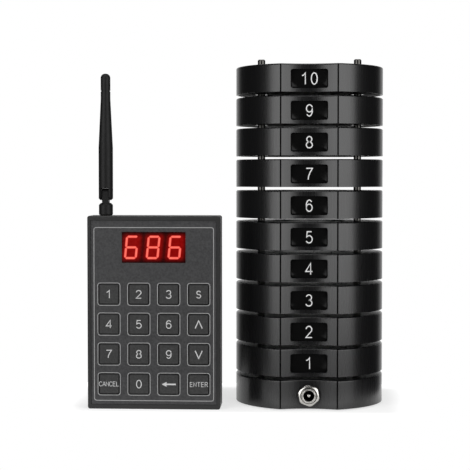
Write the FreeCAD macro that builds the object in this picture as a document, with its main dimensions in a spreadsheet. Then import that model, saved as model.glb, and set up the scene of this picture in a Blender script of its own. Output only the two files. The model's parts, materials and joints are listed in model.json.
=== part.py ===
"""Guest pager system: ten stacked coaster pagers on their charger base, and the keypad that calls them.

Frame: millimetres, +Z up, +X to the right, the fronts face -Y.  The origin is on the counter, at the
middle of the bottom of the whole set.  The keypad stands on its lower end, to the left of the stack.
"""
import FreeCAD, Part
import math
import os
import re
import Sketcher

SIZES = {
    # Pagers and the outline that they share with the charger base.
    "pager_across": 100.0,
    "pager_tall": 18.4,
    "pager_air": 2.4,
    "pager_count": 10.0,
    "seam_apart": 37.5,
    "seam_wide": 0.6,
    "seam_deep": 0.5,
    "rim_round": 1.0,
    "rim_wall": 1.6,
    "shell_wall": 2.4,
    "roof_thick": 2.4,
    "dish_across": 50.0,
    "dish_deep": 0.6,
    "window_wide": 24.5,
    "window_tall": 12.5,
    "window_corner": 1.5,
    "window_deep": 0.8,
    "window_drop": 0.6,
    # Cover plate under each pager.
    "cover_thick": 2.0,
    "cover_set_in": 0.4,
    "cover_gap": 0.15,
    # Circuit board of a pager, with its contact posts, cell and vibration motor.
    "post_across": 5.2,
    "post_root": 6.6,
    "post_apart": 65.6,
    "post_proud": 6.0,
    "post_tip": 0.6,
    "post_gap": 0.1,
    "cup_across": 8.4,
    "collar_across": 10.6,
    "collar_thick": 1.2,
    "board_lift": 8.0,
    "board_thick": 1.6,
    "board_inset": 9.0,
    "cell_wide": 34.0,
    "cell_deep": 24.0,
    "cell_tall": 4.8,
    "motor_across": 12.0,
    "motor_tall": 3.4,
    "motor_off": 22.0,
    # Screws that hold a pager's cover and the charger's plate, and the bosses that take them.
    "screw_apart": 76.6,
    "screw_fore": 44.2,
    "screw_head": 4.6,
    "screw_sunk": 0.9,
    "screw_boss": 5.6,
    # Charger base.
    "charger_tall": 19.0,
    "plate_thick": 2.4,
    "charger_board_lift": 14.3,
    "foot_across": 8.0,
    "foot_tall": 1.6,
    "foot_proud": 0.8,
    "foot_apart": 52.0,
    "jack_up": 8.7,
    "jack_seat_across": 16.6,
    "nut_flats": 13.4,
    "nut_thick": 2.0,
    "nut_chamfer": 0.5,
    "nut_turn": 15.0,
    "bush_across": 10.4,
    "bush_proud": 1.0,
    "bush_bore": 6.8,
    "jack_body_across": 12.6,
    "jack_body_long": 11.0,
    "jack_floor": 2.0,
    "jack_pin_across": 2.0,
    "jack_pin_back": 1.6,
    "jack_gap": 0.1,
    "bush_edge": 0.4,
    # Keypad housing.
    "keypad_to_stack": 8.4,
    "keypad_wide": 88.0,
    "keypad_long": 128.0,
    "keypad_thick": 23.0,
    "keypad_set_back": 0.8,
    "keypad_corner": 1.5,
    "keypad_wall": 2.2,
    "keypad_parting": 8.5,
    "bezel_side": 2.2,
    "bezel_end": 3.0,
    "bezel_chamfer": 0.6,
    "back_round": 2.0,
    "fascia_set_in": 0.6,
    "fascia_thick": 1.0,
    "fascia_gap": 0.15,
    "front_wall": 2.0,
    "groove_long": 80.0,
    "groove_tall": 5.4,
    "groove_below_face": 5.0,
    "groove_deep": 0.8,
    "lip_thick": 1.0,
    "lip_tall": 1.6,
    "lip_gap": 0.1,
    "boss_across": 7.0,
    "keypad_foot_in": 14.0,
    # Keypad keys, display and board.
    "key_cap": 13.4,
    "key_corner": 1.6,
    "key_gap": 0.4,
    "key_proud": 0.4,
    "key_travel": 0.8,
    "key_edge": 0.3,
    "key_pitch_across": 19.85,
    "top_row_down": 51.8,
    "last_row_up": 16.6,
    "flange_margin": 1.0,
    "flange_thick": 1.4,
    "flange_gap": 0.1,
    "stem_across": 5.0,
    "switch_wide": 6.0,
    "switch_tall": 3.6,
    "keypad_board_lift": 10.2,
    "keypad_board_gap": 0.6,
    "pack_wide": 50.0,
    "pack_long": 34.0,
    "pack_tall": 6.0,
    "pack_up": 62.0,
    "display_wide": 42.0,
    "display_tall": 20.2,
    "display_down": 20.8,
    "display_set_in": 0.3,
    "display_gap": 0.15,
    # Folding antenna on the upper end of the keypad.
    "antenna_inset": 11.4,
    "socket_across": 6.0,
    "socket_proud": 7.0,
    "socket_clear": 0.3,
    "socket_gap": 0.2,
    "knuckle_across": 9.3,
    "knuckle_low": 0.2,
    "knuckle_tall": 8.4,
    "knuckle_chamfer": 1.3,
    "tongue_thick": 4.4,
    "tongue_wide": 6.0,
    "hinge_up": 15.0,
    "hinge_across": 2.4,
    "hinge_gap": 0.1,
    "hinge_fit": 0.02,
    "pin_short": 0.4,
    "fork_gap": 0.3,
    "whip_across": 9.5,
    "whip_lip": 1.1,
    "whip_taper_from": 45.0,
    "whip_taper_to": 77.0,
    "whip_neck": 6.4,
    "whip_ring_at": 82.5,
    "whip_ring_deep": 0.35,
    "whip_ring_wide": 0.7,
    "whip_top": 94.0,
    "whip_dome": 2.9,
}

# The keys stand in a block of rows and columns.
KEY_NAMES = [["1", "2", "3", "s"],
             ["4", "5", "6", "up"],
             ["7", "8", "9", "down"],
             ["cancel", "0", "back", "enter"]]
ROWS = len(KEY_NAMES)
COLUMNS = len(KEY_NAMES[0])

V = FreeCAD.Vector
UP = V(0, 0, 1)
RIGHT = V(1, 0, 0)
BACK = V(0, 1, 0)

doc = FreeCAD.newDocument("guest_pager_system")
sheet = doc.addObject("Spreadsheet::Sheet", "sizes")
for row, (alias, value) in enumerate(SIZES.items(), start=1):
    sheet.set(f"A{row}", alias)
    sheet.set(f"B{row}", str(value))
    sheet.setAlias(f"B{row}", alias)
doc.recompute()

# Sizes worked out from the driving ones, as expressions.
SEAM_Y = "(sqrt(pager_across ^ 2 - seam_apart ^ 2) / 2)"
PANEL_Y = f"(2 * {SEAM_Y} - pager_across / 2)"
PITCH = "(pager_tall + pager_air)"
STACK_X = "((keypad_wide + keypad_to_stack) / 2)"
CHARGER_TOP = "(foot_proud + charger_tall)"
CUP_DEEP = "(post_proud - pager_air)"
COVER_TOP = "(cover_set_in + cover_thick)"
BOARD_TOP = "(board_lift + board_thick)"
KEYPAD_X = "(-(pager_across + keypad_to_stack) / 2)"
KEYPAD_Y = f"(keypad_set_back + keypad_thick - {SEAM_Y})"
FASCIA_TOP = "(keypad_thick - fascia_set_in)"
WALL_FRONT = f"({FASCIA_TOP} - fascia_thick)"
WALL_BACK = f"({WALL_FRONT} - front_wall)"
FLANGE_FRONT = f"({WALL_BACK} - flange_gap)"
KEYPAD_BOARD_TOP = "(keypad_board_lift + board_thick)"
PITCH_DOWN = f"((keypad_long - top_row_down - last_row_up) / {ROWS - 1})"
LIP_TOP = "(keypad_parting + lip_tall)"
ANTENNA_OFF = "(keypad_wide / 2 - antenna_inset)"
ANTENNA_FORWARD = f"(({LIP_TOP} + {WALL_BACK}) / 2)"
ANTENNA_X = f"({KEYPAD_X} - {ANTENNA_OFF})"
ANTENNA_Y = f"({KEYPAD_Y} - {ANTENNA_FORWARD})"
# The antenna socket's flange fills the room inside the end wall, between lip, front wall and board.
FLANGE_ACROSS = f"({WALL_BACK} - {LIP_TOP} - 2 * socket_clear)"
FLANGE_THICK = "(lip_gap + lip_thick + keypad_board_gap - socket_clear)"


def bound(expression):
    """Point every size that an expression names at the sheet."""
    return re.sub(r"[a-z]+(?:_[a-z]+)+", r"sizes.\g<0>", expression)


def number(expression):
    """Work an expression out to a plain number, for a first guess or a search."""
    return float(sheet.evalExpression(bound(expression)))


# Sketches ------------------------------------------------------------------------------------------

def dimension(drawing, kind, where, expression):
    """Add a driven dimension to a sketch and tie it to an expression."""
    index = drawing.addConstraint(Sketcher.Constraint(kind, *where, number(expression)))
    drawing.setExpression(f"Constraints[{index}]", bound(expression))


def pin_point(drawing, edge, end, across, along):
    """Hold one point of an edge at its distances from the sketch's origin."""
    dimension(drawing, "DistanceX", (-1, 1, edge, end), across)
    dimension(drawing, "DistanceY", (-1, 1, edge, end), along)


def new_sketch(body, role="XY_Plane", lift="0"):
    """Start a sketch on one of a body's own origin planes, lifted along that plane's normal."""
    drawing = body.newObject("Sketcher::SketchObject", f"{body.Name}_sketch")
    plane = next(item for item in body.Origin.OriginFeatures if item.Role == role)
    drawing.AttachmentSupport = [(plane, "")]
    drawing.MapMode = "FlatFace"
    drawing.setExpression("AttachmentOffset.Base.z", bound(lift))
    return drawing


def draw_circle(drawing, across, x="0", y="0"):
    """Draw a circle from its diameter and centre."""
    centre = V(number(x), number(y), 0)
    ring = drawing.addGeometry(Part.Circle(centre, UP, number(across) / 2), False)
    dimension(drawing, "Diameter", (ring,), across)
    pin_point(drawing, ring, 3, x, y)


def draw_chain(drawing, corners):
    """Draw a closed chain of straight edges through corners given as pairs of expressions."""
    places = [V(number(x), number(y), 0) for x, y in corners]
    edges = []
    for start, end in zip(places, places[1:] + places[:1]):
        edges.append(drawing.addGeometry(Part.LineSegment(start, end), False))
    for edge, following in zip(edges, edges[1:] + edges[:1]):
        drawing.addConstraint(Sketcher.Constraint("Coincident", edge, 2, following, 1))
    for edge, (x, y) in zip(edges, corners):
        pin_point(drawing, edge, 1, x, y)
    return edges


def draw_rectangle(drawing, wide, tall, x="0", y="0"):
    """Draw a rectangle from its two sizes and its centre."""
    left, right = f"{x} - ({wide}) / 2", f"{x} + ({wide}) / 2"
    low, high = f"{y} - ({tall}) / 2", f"{y} + ({tall}) / 2"
    draw_chain(drawing, [(left, low), (right, low), (right, high), (left, high)])


def draw_rounded(drawing, wide, tall, corner, x="0", y="0"):
    """Draw a rectangle with round corners: four lines joined by four tangent arcs."""
    radius = number(corner)
    quarter = math.pi / 2
    lines = []
    arcs = []
    for turn, (side, end) in enumerate([(1, 1), (-1, 1), (-1, -1), (1, -1)]):
        centre_x = f"{x} + {side} * (({wide}) / 2 - ({corner}))"
        centre_y = f"{y} + {end} * (({tall}) / 2 - ({corner}))"
        ring = Part.Circle(V(number(centre_x), number(centre_y), 0), UP, radius)
        arc = Part.ArcOfCircle(ring, turn * quarter, (turn + 1) * quarter)
        arcs.append(drawing.addGeometry(arc, False))
        dimension(drawing, "Radius", (arcs[-1],), corner)
        pin_point(drawing, arcs[-1], 3, centre_x, centre_y)
    for arc, following in zip(arcs, arcs[1:] + arcs[:1]):
        start = drawing.getPoint(arc, 2)
        end = drawing.getPoint(following, 1)
        lines.append(drawing.addGeometry(Part.LineSegment(start, end), False))
        drawing.addConstraint(Sketcher.Constraint("Tangent", arc, 2, lines[-1], 1))
        drawing.addConstraint(Sketcher.Constraint("Tangent", lines[-1], 2, following, 1))


def draw_waisted(drawing, inset="0"):
    """Draw the outline of a pager, moved in by an inset: two round lobes and two hollow panels."""
    lobe = f"pager_across / 2 - ({inset})"
    hollow = f"pager_across / 2 + ({inset})"
    # The hollow panels are the round outline mirrored about the line through their seams.
    away = number(f"2 * {SEAM_Y}")
    corner_y = (number(hollow) ** 2 - number(lobe) ** 2 - away ** 2) / (-2 * away)
    corner_x = (number(lobe) ** 2 - corner_y ** 2) ** 0.5
    corners = [V(corner_x, -corner_y, 0), V(corner_x, corner_y, 0),
               V(-corner_x, corner_y, 0), V(-corner_x, -corner_y, 0)]
    middles = [(V(number(lobe), 0, 0), "0"), (V(0, away - number(hollow), 0), f"2 * {SEAM_Y}"),
               (V(-number(lobe), 0, 0), "0"), (V(0, number(hollow) - away, 0), f"-2 * {SEAM_Y}")]
    arcs = []
    for start, end, (middle, _) in zip(corners, corners[1:] + corners[:1], middles):
        arcs.append(drawing.addGeometry(Part.Arc(start, middle, end), False))
    for index, (arc, (_, centre)) in enumerate(zip(arcs, middles)):
        dimension(drawing, "Radius", (arc,), hollow if index % 2 else lobe)
        pin_point(drawing, arc, 3, "0", centre)
    # A hollow arc runs clockwise, so its own start is the end that the chain reaches second.
    joints = [(arcs[0], 2, arcs[1], 2), (arcs[1], 1, arcs[2], 1),
              (arcs[2], 2, arcs[3], 2), (arcs[3], 1, arcs[0], 1)]
    for joint in joints:
        drawing.addConstraint(Sketcher.Constraint("Coincident", *joint))


# Features ------------------------------------------------------------------------------------------

def new_body(label):
    """Start a sub-part."""
    body = doc.addObject("PartDesign::Body", label)
    body.Label = label
    return body


def set_place(piece, x="0", y="0", z="0", axis=UP, angle=0.0):
    """Place a sub-part by expressions, turned about one axis."""
    piece.Placement = FreeCAD.Placement(V(), FreeCAD.Rotation(axis, angle))
    piece.setExpression("Placement.Base.x", bound(x))
    piece.setExpression("Placement.Base.y", bound(y))
    piece.setExpression("Placement.Base.z", bound(z))


def pad(body, drawing, length, backwards=False):
    """Raise a sketch into a solid."""
    feature = body.newObject("PartDesign::Pad", f"{body.Name}_pad")
    feature.Profile = drawing
    feature.Reversed = backwards
    feature.setExpression("Length", bound(length))
    doc.recompute()
    return feature


def pocket(body, drawing, length, along_normal=True):
    """Cut a sketch out of a body, along its normal or against it, and see that something went."""
    before = body.Shape.Volume
    feature = body.newObject("PartDesign::Pocket", f"{body.Name}_pocket")
    feature.Profile = drawing
    feature.Reversed = along_normal
    feature.setExpression("Length", bound(length))
    doc.recompute()
    if not body.Shape.Volume < before:
        raise ValueError(f"{feature.Name} cuts nothing")
    return feature


def revolve(body, drawing, axis="V_Axis"):
    """Turn a sketch about one of its own axes."""
    feature = body.newObject("PartDesign::Revolution", f"{body.Name}_turned")
    feature.Profile = drawing
    feature.ReferenceAxis = (drawing, [axis])
    feature.Angle = 360
    doc.recompute()
    return feature


def spread_over_keys(body, feature, drawing):
    """Repeat the first key's feature over the four columns and the four rows of keys."""
    grid = body.newObject("PartDesign::MultiTransform", f"{body.Name}_grid")
    grid.Originals = [feature]
    ways = []
    for axis, pitch, count in (("H_Axis", "key_pitch_across", COLUMNS), ("V_Axis", PITCH_DOWN, ROWS)):
        way = body.newObject("PartDesign::LinearPattern", f"{body.Name}_{axis}")
        way.Direction = (drawing, [axis])
        way.Reversed = axis == "V_Axis"
        way.Occurrences = count
        way.setExpression("Length", bound(f"{count - 1} * {pitch}"))
        ways.append(way)
    grid.Transformations = ways
    body.Tip = grid
    doc.recompute()


def dress(body, kind, size_name, expression, chosen):
    """Round or chamfer the edges of a body's tip that a test picks."""
    tip = body.Tip
    names = [f"Edge{n}" for n, edge in enumerate(tip.Shape.Edges, start=1) if chosen(edge)]
    feature = body.newObject(f"PartDesign::{kind}", f"{body.Name}_{kind.lower()}")
    feature.Base = (tip, names)
    feature.setExpression(size_name, bound(expression))
    doc.recompute()
    return feature


def lies_at(edge, height, axis="z"):
    """Tell whether an edge lies whole at one height along an axis."""
    box = edge.BoundBox
    low, high = getattr(box, f"{axis.upper()}Min"), getattr(box, f"{axis.upper()}Max")
    return abs(low - height) < 0.001 and abs(high - height) < 0.001


def copy_body(original, label):
    """Repeat a finished body as a copy that follows it."""
    body = new_body(label)
    base = body.newObject("PartDesign::FeatureBase", f"{label}_base")
    base.BaseFeature = original
    body.Tip = base
    return body


def repeat(original, labels, place):
    """Place a body as the first of a row, and a copy of it for each later label."""
    pieces = [original] + [copy_body(original, label) for label in labels[1:]]
    for index, piece in enumerate(pieces):
        place(piece, index)
    return pieces


# Pagers --------------------------------------------------------------------------------------------

def cut_seams(body, tall):
    """Cut the four upright grooves where the round lobes meet the hollow panels."""
    drawing = new_sketch(body)
    for side in ("-", ""):
        for face in ("-", ""):
            x = f"{side}seam_apart / 2"
            y = f"{face}({SEAM_Y} + seam_deep)"
            draw_rectangle(drawing, "seam_wide", "4 * seam_deep", x, y)
    pocket(body, drawing, tall)


def post_circles(drawing, across):
    """Draw a circle at each of the two contact posts."""
    for side in ("-", ""):
        draw_circle(drawing, across, f"{side}post_apart / 2")


def draw_screws(drawing, across):
    """Draw a circle at each of the four screws that close a housing."""
    for side in ("-", ""):
        for face in ("-", ""):
            draw_circle(drawing, across, f"{side}screw_apart / 2", f"{face}screw_fore / 2")


def make_shell(label, tall, seat_deep):
    """Make the waisted housing of a pager or the charger, open below, with a seat for its plate."""
    body = new_body(label)
    drawing = new_sketch(body)
    draw_waisted(drawing)
    pad(body, drawing, tall)
    top = number(tall)
    dress(body, "Fillet", "Radius", "rim_round", lambda edge: lies_at(edge, top))
    drawing = new_sketch(body)
    draw_waisted(drawing, "rim_wall")
    pocket(body, drawing, seat_deep)
    drawing = new_sketch(body)
    draw_waisted(drawing, "shell_wall")
    pocket(body, drawing, f"{tall} - roof_thick")
    cut_seams(body, tall)
    drawing = new_sketch(body, lift=seat_deep)
    draw_screws(drawing, "screw_boss")
    pad(body, drawing, f"{tall} - roof_thick - {seat_deep}")
    drawing = new_sketch(body, lift=f"{tall} - roof_thick")
    post_circles(drawing, "post_root + 2 * post_gap")
    pocket(body, drawing, "roof_thick")
    return body


def make_pager_shell(label):
    """Make a pager's top housing, with its number window and the shallow dish in its roof."""
    body = make_shell(label, "pager_tall", COVER_TOP)
    drawing = new_sketch(body, "XZ_Plane", f"{PANEL_Y} - window_deep")
    draw_rounded(drawing, "window_wide", "window_tall", "window_corner", "0", "pager_tall / 2 - window_drop")
    pocket(body, drawing, "pager_across / 2")
    drawing = new_sketch(body, lift="pager_tall - dish_deep")
    draw_circle(drawing, "dish_across")
    pocket(body, drawing, "dish_deep")
    return body


def make_pager_cover(label):
    """Make the plate that closes a pager from below, with a hole for each charging cup."""
    body = new_body(label)
    drawing = new_sketch(body, lift="cover_set_in")
    draw_waisted(drawing, "rim_wall + cover_gap")
    post_circles(drawing, "cup_across + 2 * cover_gap")
    pad(body, drawing, "cover_thick")
    drawing = new_sketch(body, lift="cover_set_in")
    draw_screws(drawing, "screw_head")
    pocket(body, drawing, "screw_sunk")
    return body


def raise_posts(body, foot, top):
    """Raise the two contact posts from a foot: wide up to the roof's top, and narrow above it."""
    drawing = new_sketch(body, lift=foot)
    post_circles(drawing, "post_root")
    pad(body, drawing, f"{top} - {foot}")
    drawing = new_sketch(body, lift=top)
    post_circles(drawing, "post_across")
    pad(body, drawing, "post_proud")
    tip = number(f"{top} + post_proud")
    dress(body, "Chamfer", "Size", "post_tip", lambda edge: lies_at(edge, tip))


def make_pager_board(label):
    """Make a pager's populated board: contact posts with cups, board, cell and vibration motor."""
    body = new_body(label)
    drawing = new_sketch(body, lift="board_lift")
    draw_waisted(drawing, "board_inset")
    pad(body, drawing, "board_thick")
    drawing = new_sketch(body, lift="board_lift")
    draw_rectangle(drawing, "cell_wide", "cell_deep")
    pad(body, drawing, "cell_tall", backwards=True)
    drawing = new_sketch(body, lift=BOARD_TOP)
    draw_circle(drawing, "motor_across", "motor_off", "0")
    pad(body, drawing, "motor_tall")
    drawing = new_sketch(body, lift="cover_set_in")
    post_circles(drawing, "cup_across")
    pad(body, drawing, "board_lift - cover_set_in")
    drawing = new_sketch(body, lift=COVER_TOP)
    post_circles(drawing, "collar_across")
    pad(body, drawing, "collar_thick")
    raise_posts(body, BOARD_TOP, "pager_tall")
    drawing = new_sketch(body)
    post_circles(drawing, "post_across + 2 * post_gap")
    pocket(body, drawing, CUP_DEEP)
    return body


def make_pagers():
    """Make the ten pagers and stack them on the charger."""
    count = int(number("pager_count"))
    makers = {"shell": make_pager_shell, "cover": make_pager_cover, "board": make_pager_board}
    pieces = []

    def stack(piece, index):
        set_place(piece, x=STACK_X, z=f"{CHARGER_TOP} + pager_air + {index} * {PITCH}")

    for kind, make in makers.items():
        labels = [f"pager_{place:02d}_{kind}" for place in range(1, count + 1)]
        pieces += repeat(make(labels[0]), labels, stack)
    return pieces


# Charger -------------------------------------------------------------------------------------------

def make_charger_shell():
    """Make the charger's housing, with the flat seat and the hole for its power jack in front."""
    body = make_shell("charger_shell", "charger_tall", "plate_thick")
    drawing = new_sketch(body, "XZ_Plane", PANEL_Y)
    draw_circle(drawing, "jack_seat_across", "0", "jack_up")
    pocket(body, drawing, "pager_across / 2")
    drawing = new_sketch(body, "XZ_Plane", f"{PANEL_Y} - 2 * shell_wall")
    draw_circle(drawing, "bush_across + 2 * jack_gap", "0", "jack_up")
    pocket(body, drawing, "3 * shell_wall")
    set_place(body, x=STACK_X, z="foot_proud")
    return body


def foot_places():
    """List the four feet's places on the charger's plate."""
    return [(f"{side}foot_apart / 2", f"{face}foot_apart / 2") for side in ("-", "") for face in ("-", "")]


def make_charger_plate():
    """Make the plate that closes the charger, with a round seat for each rubber foot."""
    body = new_body("charger_bottom_plate")
    drawing = new_sketch(body)
    draw_waisted(drawing, "rim_wall + cover_gap")
    pad(body, drawing, "plate_thick")
    drawing = new_sketch(body)
    for x, y in foot_places():
        draw_circle(drawing, "foot_across + 2 * cover_gap", x, y)
    pocket(body, drawing, "foot_tall - foot_proud")
    drawing = new_sketch(body)
    draw_screws(drawing, "screw_head")
    pocket(body, drawing, "screw_sunk")
    set_place(body, x=STACK_X, z="foot_proud")
    return body


def make_charger_board():
    """Make the charger's board on its four legs, with the two posts that carry the lowest pager."""
    body = new_body("charger_board")
    drawing = new_sketch(body, lift="charger_board_lift")
    draw_rectangle(drawing, "post_apart + cup_across", "cell_deep")
    pad(body, drawing, "board_thick")
    drawing = new_sketch(body, lift="plate_thick")
    post_circles(drawing, "cup_across")
    pad(body, drawing, "charger_board_lift - plate_thick")
    raise_posts(body, "charger_board_lift", "charger_tall")
    set_place(body, x=STACK_X, z="foot_proud")
    return body


def make_jack():
    """Make the power jack: its threaded bush and body, its centre pin, and its six-sided nut."""
    bush = new_body("jack_bush")
    inner_wall = f"({PANEL_Y} - shell_wall)"
    face = f"({PANEL_Y} + nut_thick + bush_proud)"
    back = f"({inner_wall} - jack_body_long)"
    pin_face = f"({face} - jack_pin_back)"
    drawing = new_sketch(bush, "XZ_Plane", back)
    draw_circle(drawing, "jack_body_across")
    pad(bush, drawing, "jack_body_long")
    drawing = new_sketch(bush, "XZ_Plane", inner_wall)
    draw_circle(drawing, "bush_across")
    pad(bush, drawing, f"{face} - {inner_wall}")
    front = number(f"-{face}")
    dress(bush, "Chamfer", "Size", "bush_edge", lambda edge: lies_at(edge, front, "y"))
    drawing = new_sketch(bush, "XZ_Plane", f"{back} + jack_floor")
    draw_circle(drawing, "bush_bore")
    pocket(bush, drawing, "pager_across / 2")
    drawing = new_sketch(bush, "XZ_Plane", f"{back} + jack_floor")
    draw_circle(drawing, "jack_pin_across")
    pad(bush, drawing, f"{pin_face} - {back} - jack_floor")

    nut = new_body("jack_nut")
    drawing = new_sketch(nut, "XZ_Plane", PANEL_Y)
    corner = "(nut_flats / sqrt(3))"
    half = "(nut_flats / 2)"
    draw_chain(drawing, [(corner, "0"), (f"{corner} / 2", half), (f"-{corner} / 2", half),
                         (f"-{corner}", "0"), (f"-{corner} / 2", f"-{half}"), (f"{corner} / 2", f"-{half}")])
    pad(nut, drawing, "nut_thick")
    front = number(f"-{PANEL_Y} - nut_thick")
    dress(nut, "Chamfer", "Size", "nut_chamfer", lambda edge: lies_at(edge, front, "y"))
    drawing = new_sketch(nut, "XZ_Plane", PANEL_Y)
    draw_circle(drawing, "bush_across + 2 * jack_gap")
    pocket(nut, drawing, "nut_thick")
    set_place(nut, axis=BACK, angle=number("nut_turn"))

    jack = doc.addObject("Part::Compound", "dc_jack")
    jack.Label = "dc_jack"
    jack.Links = [bush, nut]
    set_place(jack, x=STACK_X, z="foot_proud + jack_up")
    return jack


# Keypad: in its own frame X runs across, Y up its length and Z out of its face. ----------------------

def stand_up(piece):
    """Stand a piece of the keypad on its lower end, facing the front."""
    set_place(piece, x=KEYPAD_X, y=KEYPAD_Y, axis=RIGHT, angle=90)


def key_places():
    """List the centres of the sixteen keys, row by row from the upper left."""
    places = []
    for row in range(ROWS):
        for column in range(COLUMNS):
            x = f"{column - (COLUMNS - 1) / 2} * key_pitch_across"
            y = f"keypad_long - top_row_down - {row} * {PITCH_DOWN}"
            places.append((x, y))
    return places


def draw_display(drawing, margin="0"):
    """Draw the display's opening, larger all round by a margin."""
    draw_rectangle(drawing, f"display_wide + 2 * ({margin})", f"display_tall + 2 * ({margin})",
                   "0", "keypad_long - display_down")


def make_top_case():
    """Make the front half of the housing: bezel, seat for the fascia, openings and antenna hole."""
    body = new_body("keypad_top_case")
    middle = "keypad_long / 2"
    drawing = new_sketch(body, lift="keypad_parting")
    draw_rounded(drawing, "keypad_wide", "keypad_long", "keypad_corner", "0", middle)
    pad(body, drawing, "keypad_thick - keypad_parting")
    face = number("keypad_thick")
    dress(body, "Chamfer", "Size", "bezel_chamfer", lambda edge: lies_at(edge, face))
    drawing = new_sketch(body, lift=WALL_FRONT)
    draw_rectangle(drawing, "keypad_wide - 2 * bezel_side", "keypad_long - 2 * bezel_end", "0", middle)
    pocket(body, drawing, "fascia_set_in + fascia_thick")
    drawing = new_sketch(body, lift="keypad_parting")
    draw_rectangle(drawing, "keypad_wide - 2 * keypad_wall", "keypad_long - 2 * keypad_wall", "0", middle)
    pocket(body, drawing, f"{WALL_BACK} - keypad_parting")
    drawing = new_sketch(body, lift=WALL_BACK)
    draw_display(drawing, "display_gap")
    pocket(body, drawing, "front_wall")
    drawing = new_sketch(body, lift=WALL_BACK)
    draw_rectangle(drawing, "key_cap + 2 * key_gap", "key_cap + 2 * key_gap", *key_places()[0])
    spread_over_keys(body, pocket(body, drawing, "front_wall"), drawing)
    drawing = new_sketch(body, "XZ_Plane", "-(keypad_long + keypad_wall)")
    draw_circle(drawing, "socket_across + 2 * socket_gap", f"-{ANTENNA_OFF}", ANTENNA_FORWARD)
    pocket(body, drawing, "3 * keypad_wall")
    drawing = new_sketch(body, "XZ_Plane", "-groove_deep")
    groove_middle = "keypad_thick - groove_below_face - groove_tall / 2"
    draw_rectangle(drawing, "groove_long", "groove_tall", "0", groove_middle)
    pocket(body, drawing, "2 * groove_deep")
    stand_up(body)
    return body


def boss_places():
    """List the places of the four bosses that carry the keypad's board."""
    reach_x = "(keypad_wide / 2 - keypad_wall - boss_across / 2 - keypad_board_gap)"
    reach_y = "(keypad_long / 2 - keypad_wall - boss_across / 2 - keypad_board_gap)"
    return [(f"{side}{reach_x}", f"keypad_long / 2 {end} {reach_y}") for side in ("-", "") for end in "-+"]


def make_bottom_case():
    """Make the back half of the housing: floor, board bosses, locating lip and seats for the feet."""
    body = new_body("keypad_bottom_case")
    middle = "keypad_long / 2"
    drawing = new_sketch(body)
    draw_rounded(drawing, "keypad_wide", "keypad_long", "keypad_corner", "0", middle)
    pad(body, drawing, "keypad_parting")
    dress(body, "Fillet", "Radius", "back_round", lambda edge: lies_at(edge, 0.0))
    drawing = new_sketch(body, lift="keypad_parting")
    lip = "(keypad_wall + lip_gap)"
    draw_rectangle(drawing, f"keypad_wide - 2 * {lip}", f"keypad_long - 2 * {lip}", "0", middle)
    pad(body, drawing, "lip_tall")
    drawing = new_sketch(body, lift="keypad_wall")
    inner = f"({lip} + lip_thick)"
    draw_rectangle(drawing, f"keypad_wide - 2 * {inner}", f"keypad_long - 2 * {inner}", "0", middle)
    pocket(body, drawing, "keypad_thick")
    drawing = new_sketch(body, lift="keypad_wall")
    for x, y in boss_places():
        draw_circle(drawing, "boss_across", x, y)
    pad(body, drawing, "keypad_board_lift - keypad_wall")
    drawing = new_sketch(body)
    for x, y in keypad_foot_places():
        draw_circle(drawing, "foot_across + 2 * cover_gap", x, y)
    pocket(body, drawing, "foot_tall - foot_proud")
    drawing = new_sketch(body)
    for x, y in boss_places():
        draw_circle(drawing, "screw_head", x, y)
    pocket(body, drawing, "screw_sunk")
    stand_up(body)
    return body


def keypad_foot_places():
    """List the places of the four feet on the keypad's back."""
    reach_x = "(keypad_wide / 2 - keypad_foot_in)"
    reach_y = "(keypad_long / 2 - keypad_foot_in)"
    return [(f"{side}{reach_x}", f"keypad_long / 2 {end} {reach_y}") for side in ("-", "") for end in "-+"]


def make_fascia():
    """Make the thin front plate, with a round-cornered hole for each key and one for the display."""
    body = new_body("keypad_fascia")
    drawing = new_sketch(body, lift=WALL_FRONT)
    draw_rectangle(drawing, "keypad_wide - 2 * bezel_side - 2 * fascia_gap",
                   "keypad_long - 2 * bezel_end - 2 * fascia_gap", "0", "keypad_long / 2")
    pad(body, drawing, "fascia_thick")
    drawing = new_sketch(body, lift=WALL_FRONT)
    draw_display(drawing, "display_gap")
    pocket(body, drawing, "fascia_thick")
    drawing = new_sketch(body, lift=WALL_FRONT)
    hole = "key_cap + 2 * key_gap"
    draw_rounded(drawing, hole, hole, "key_corner + key_gap", *key_places()[0])
    spread_over_keys(body, pocket(body, drawing, "fascia_thick"), drawing)
    stand_up(body)
    return body


def make_keys():
    """Make the sixteen keys: a cap, a flange that keeps it in, and a stem over its switch."""
    labels = [f"key_{name}" for row in KEY_NAMES for name in row]
    body = new_body(labels[0])
    drawing = new_sketch(body, lift=FLANGE_FRONT)
    draw_rounded(drawing, "key_cap", "key_cap", "key_corner")
    pad(body, drawing, f"{FASCIA_TOP} + key_proud - {FLANGE_FRONT}")
    top = number(f"{FASCIA_TOP} + key_proud")
    dress(body, "Chamfer", "Size", "key_edge", lambda edge: lies_at(edge, top))
    drawing = new_sketch(body, lift=FLANGE_FRONT)
    flange = "key_cap + 2 * (key_gap + flange_margin)"
    draw_rectangle(drawing, flange, flange)
    pad(body, drawing, "flange_thick", backwards=True)
    flange_back = f"({FLANGE_FRONT} - flange_thick)"
    stem_end = f"({KEYPAD_BOARD_TOP} + switch_tall + key_travel + flange_gap)"
    drawing = new_sketch(body, lift=flange_back)
    draw_rectangle(drawing, "stem_across", "stem_across")
    pad(body, drawing, f"{flange_back} - {stem_end}", backwards=True)
    places = key_places()

    def seat(piece, index):
        x, y = places[index]
        set_place(piece, x=f"{KEYPAD_X} + {x}", y=KEYPAD_Y, z=y, axis=RIGHT, angle=90)

    return repeat(body, labels, seat)


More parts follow.
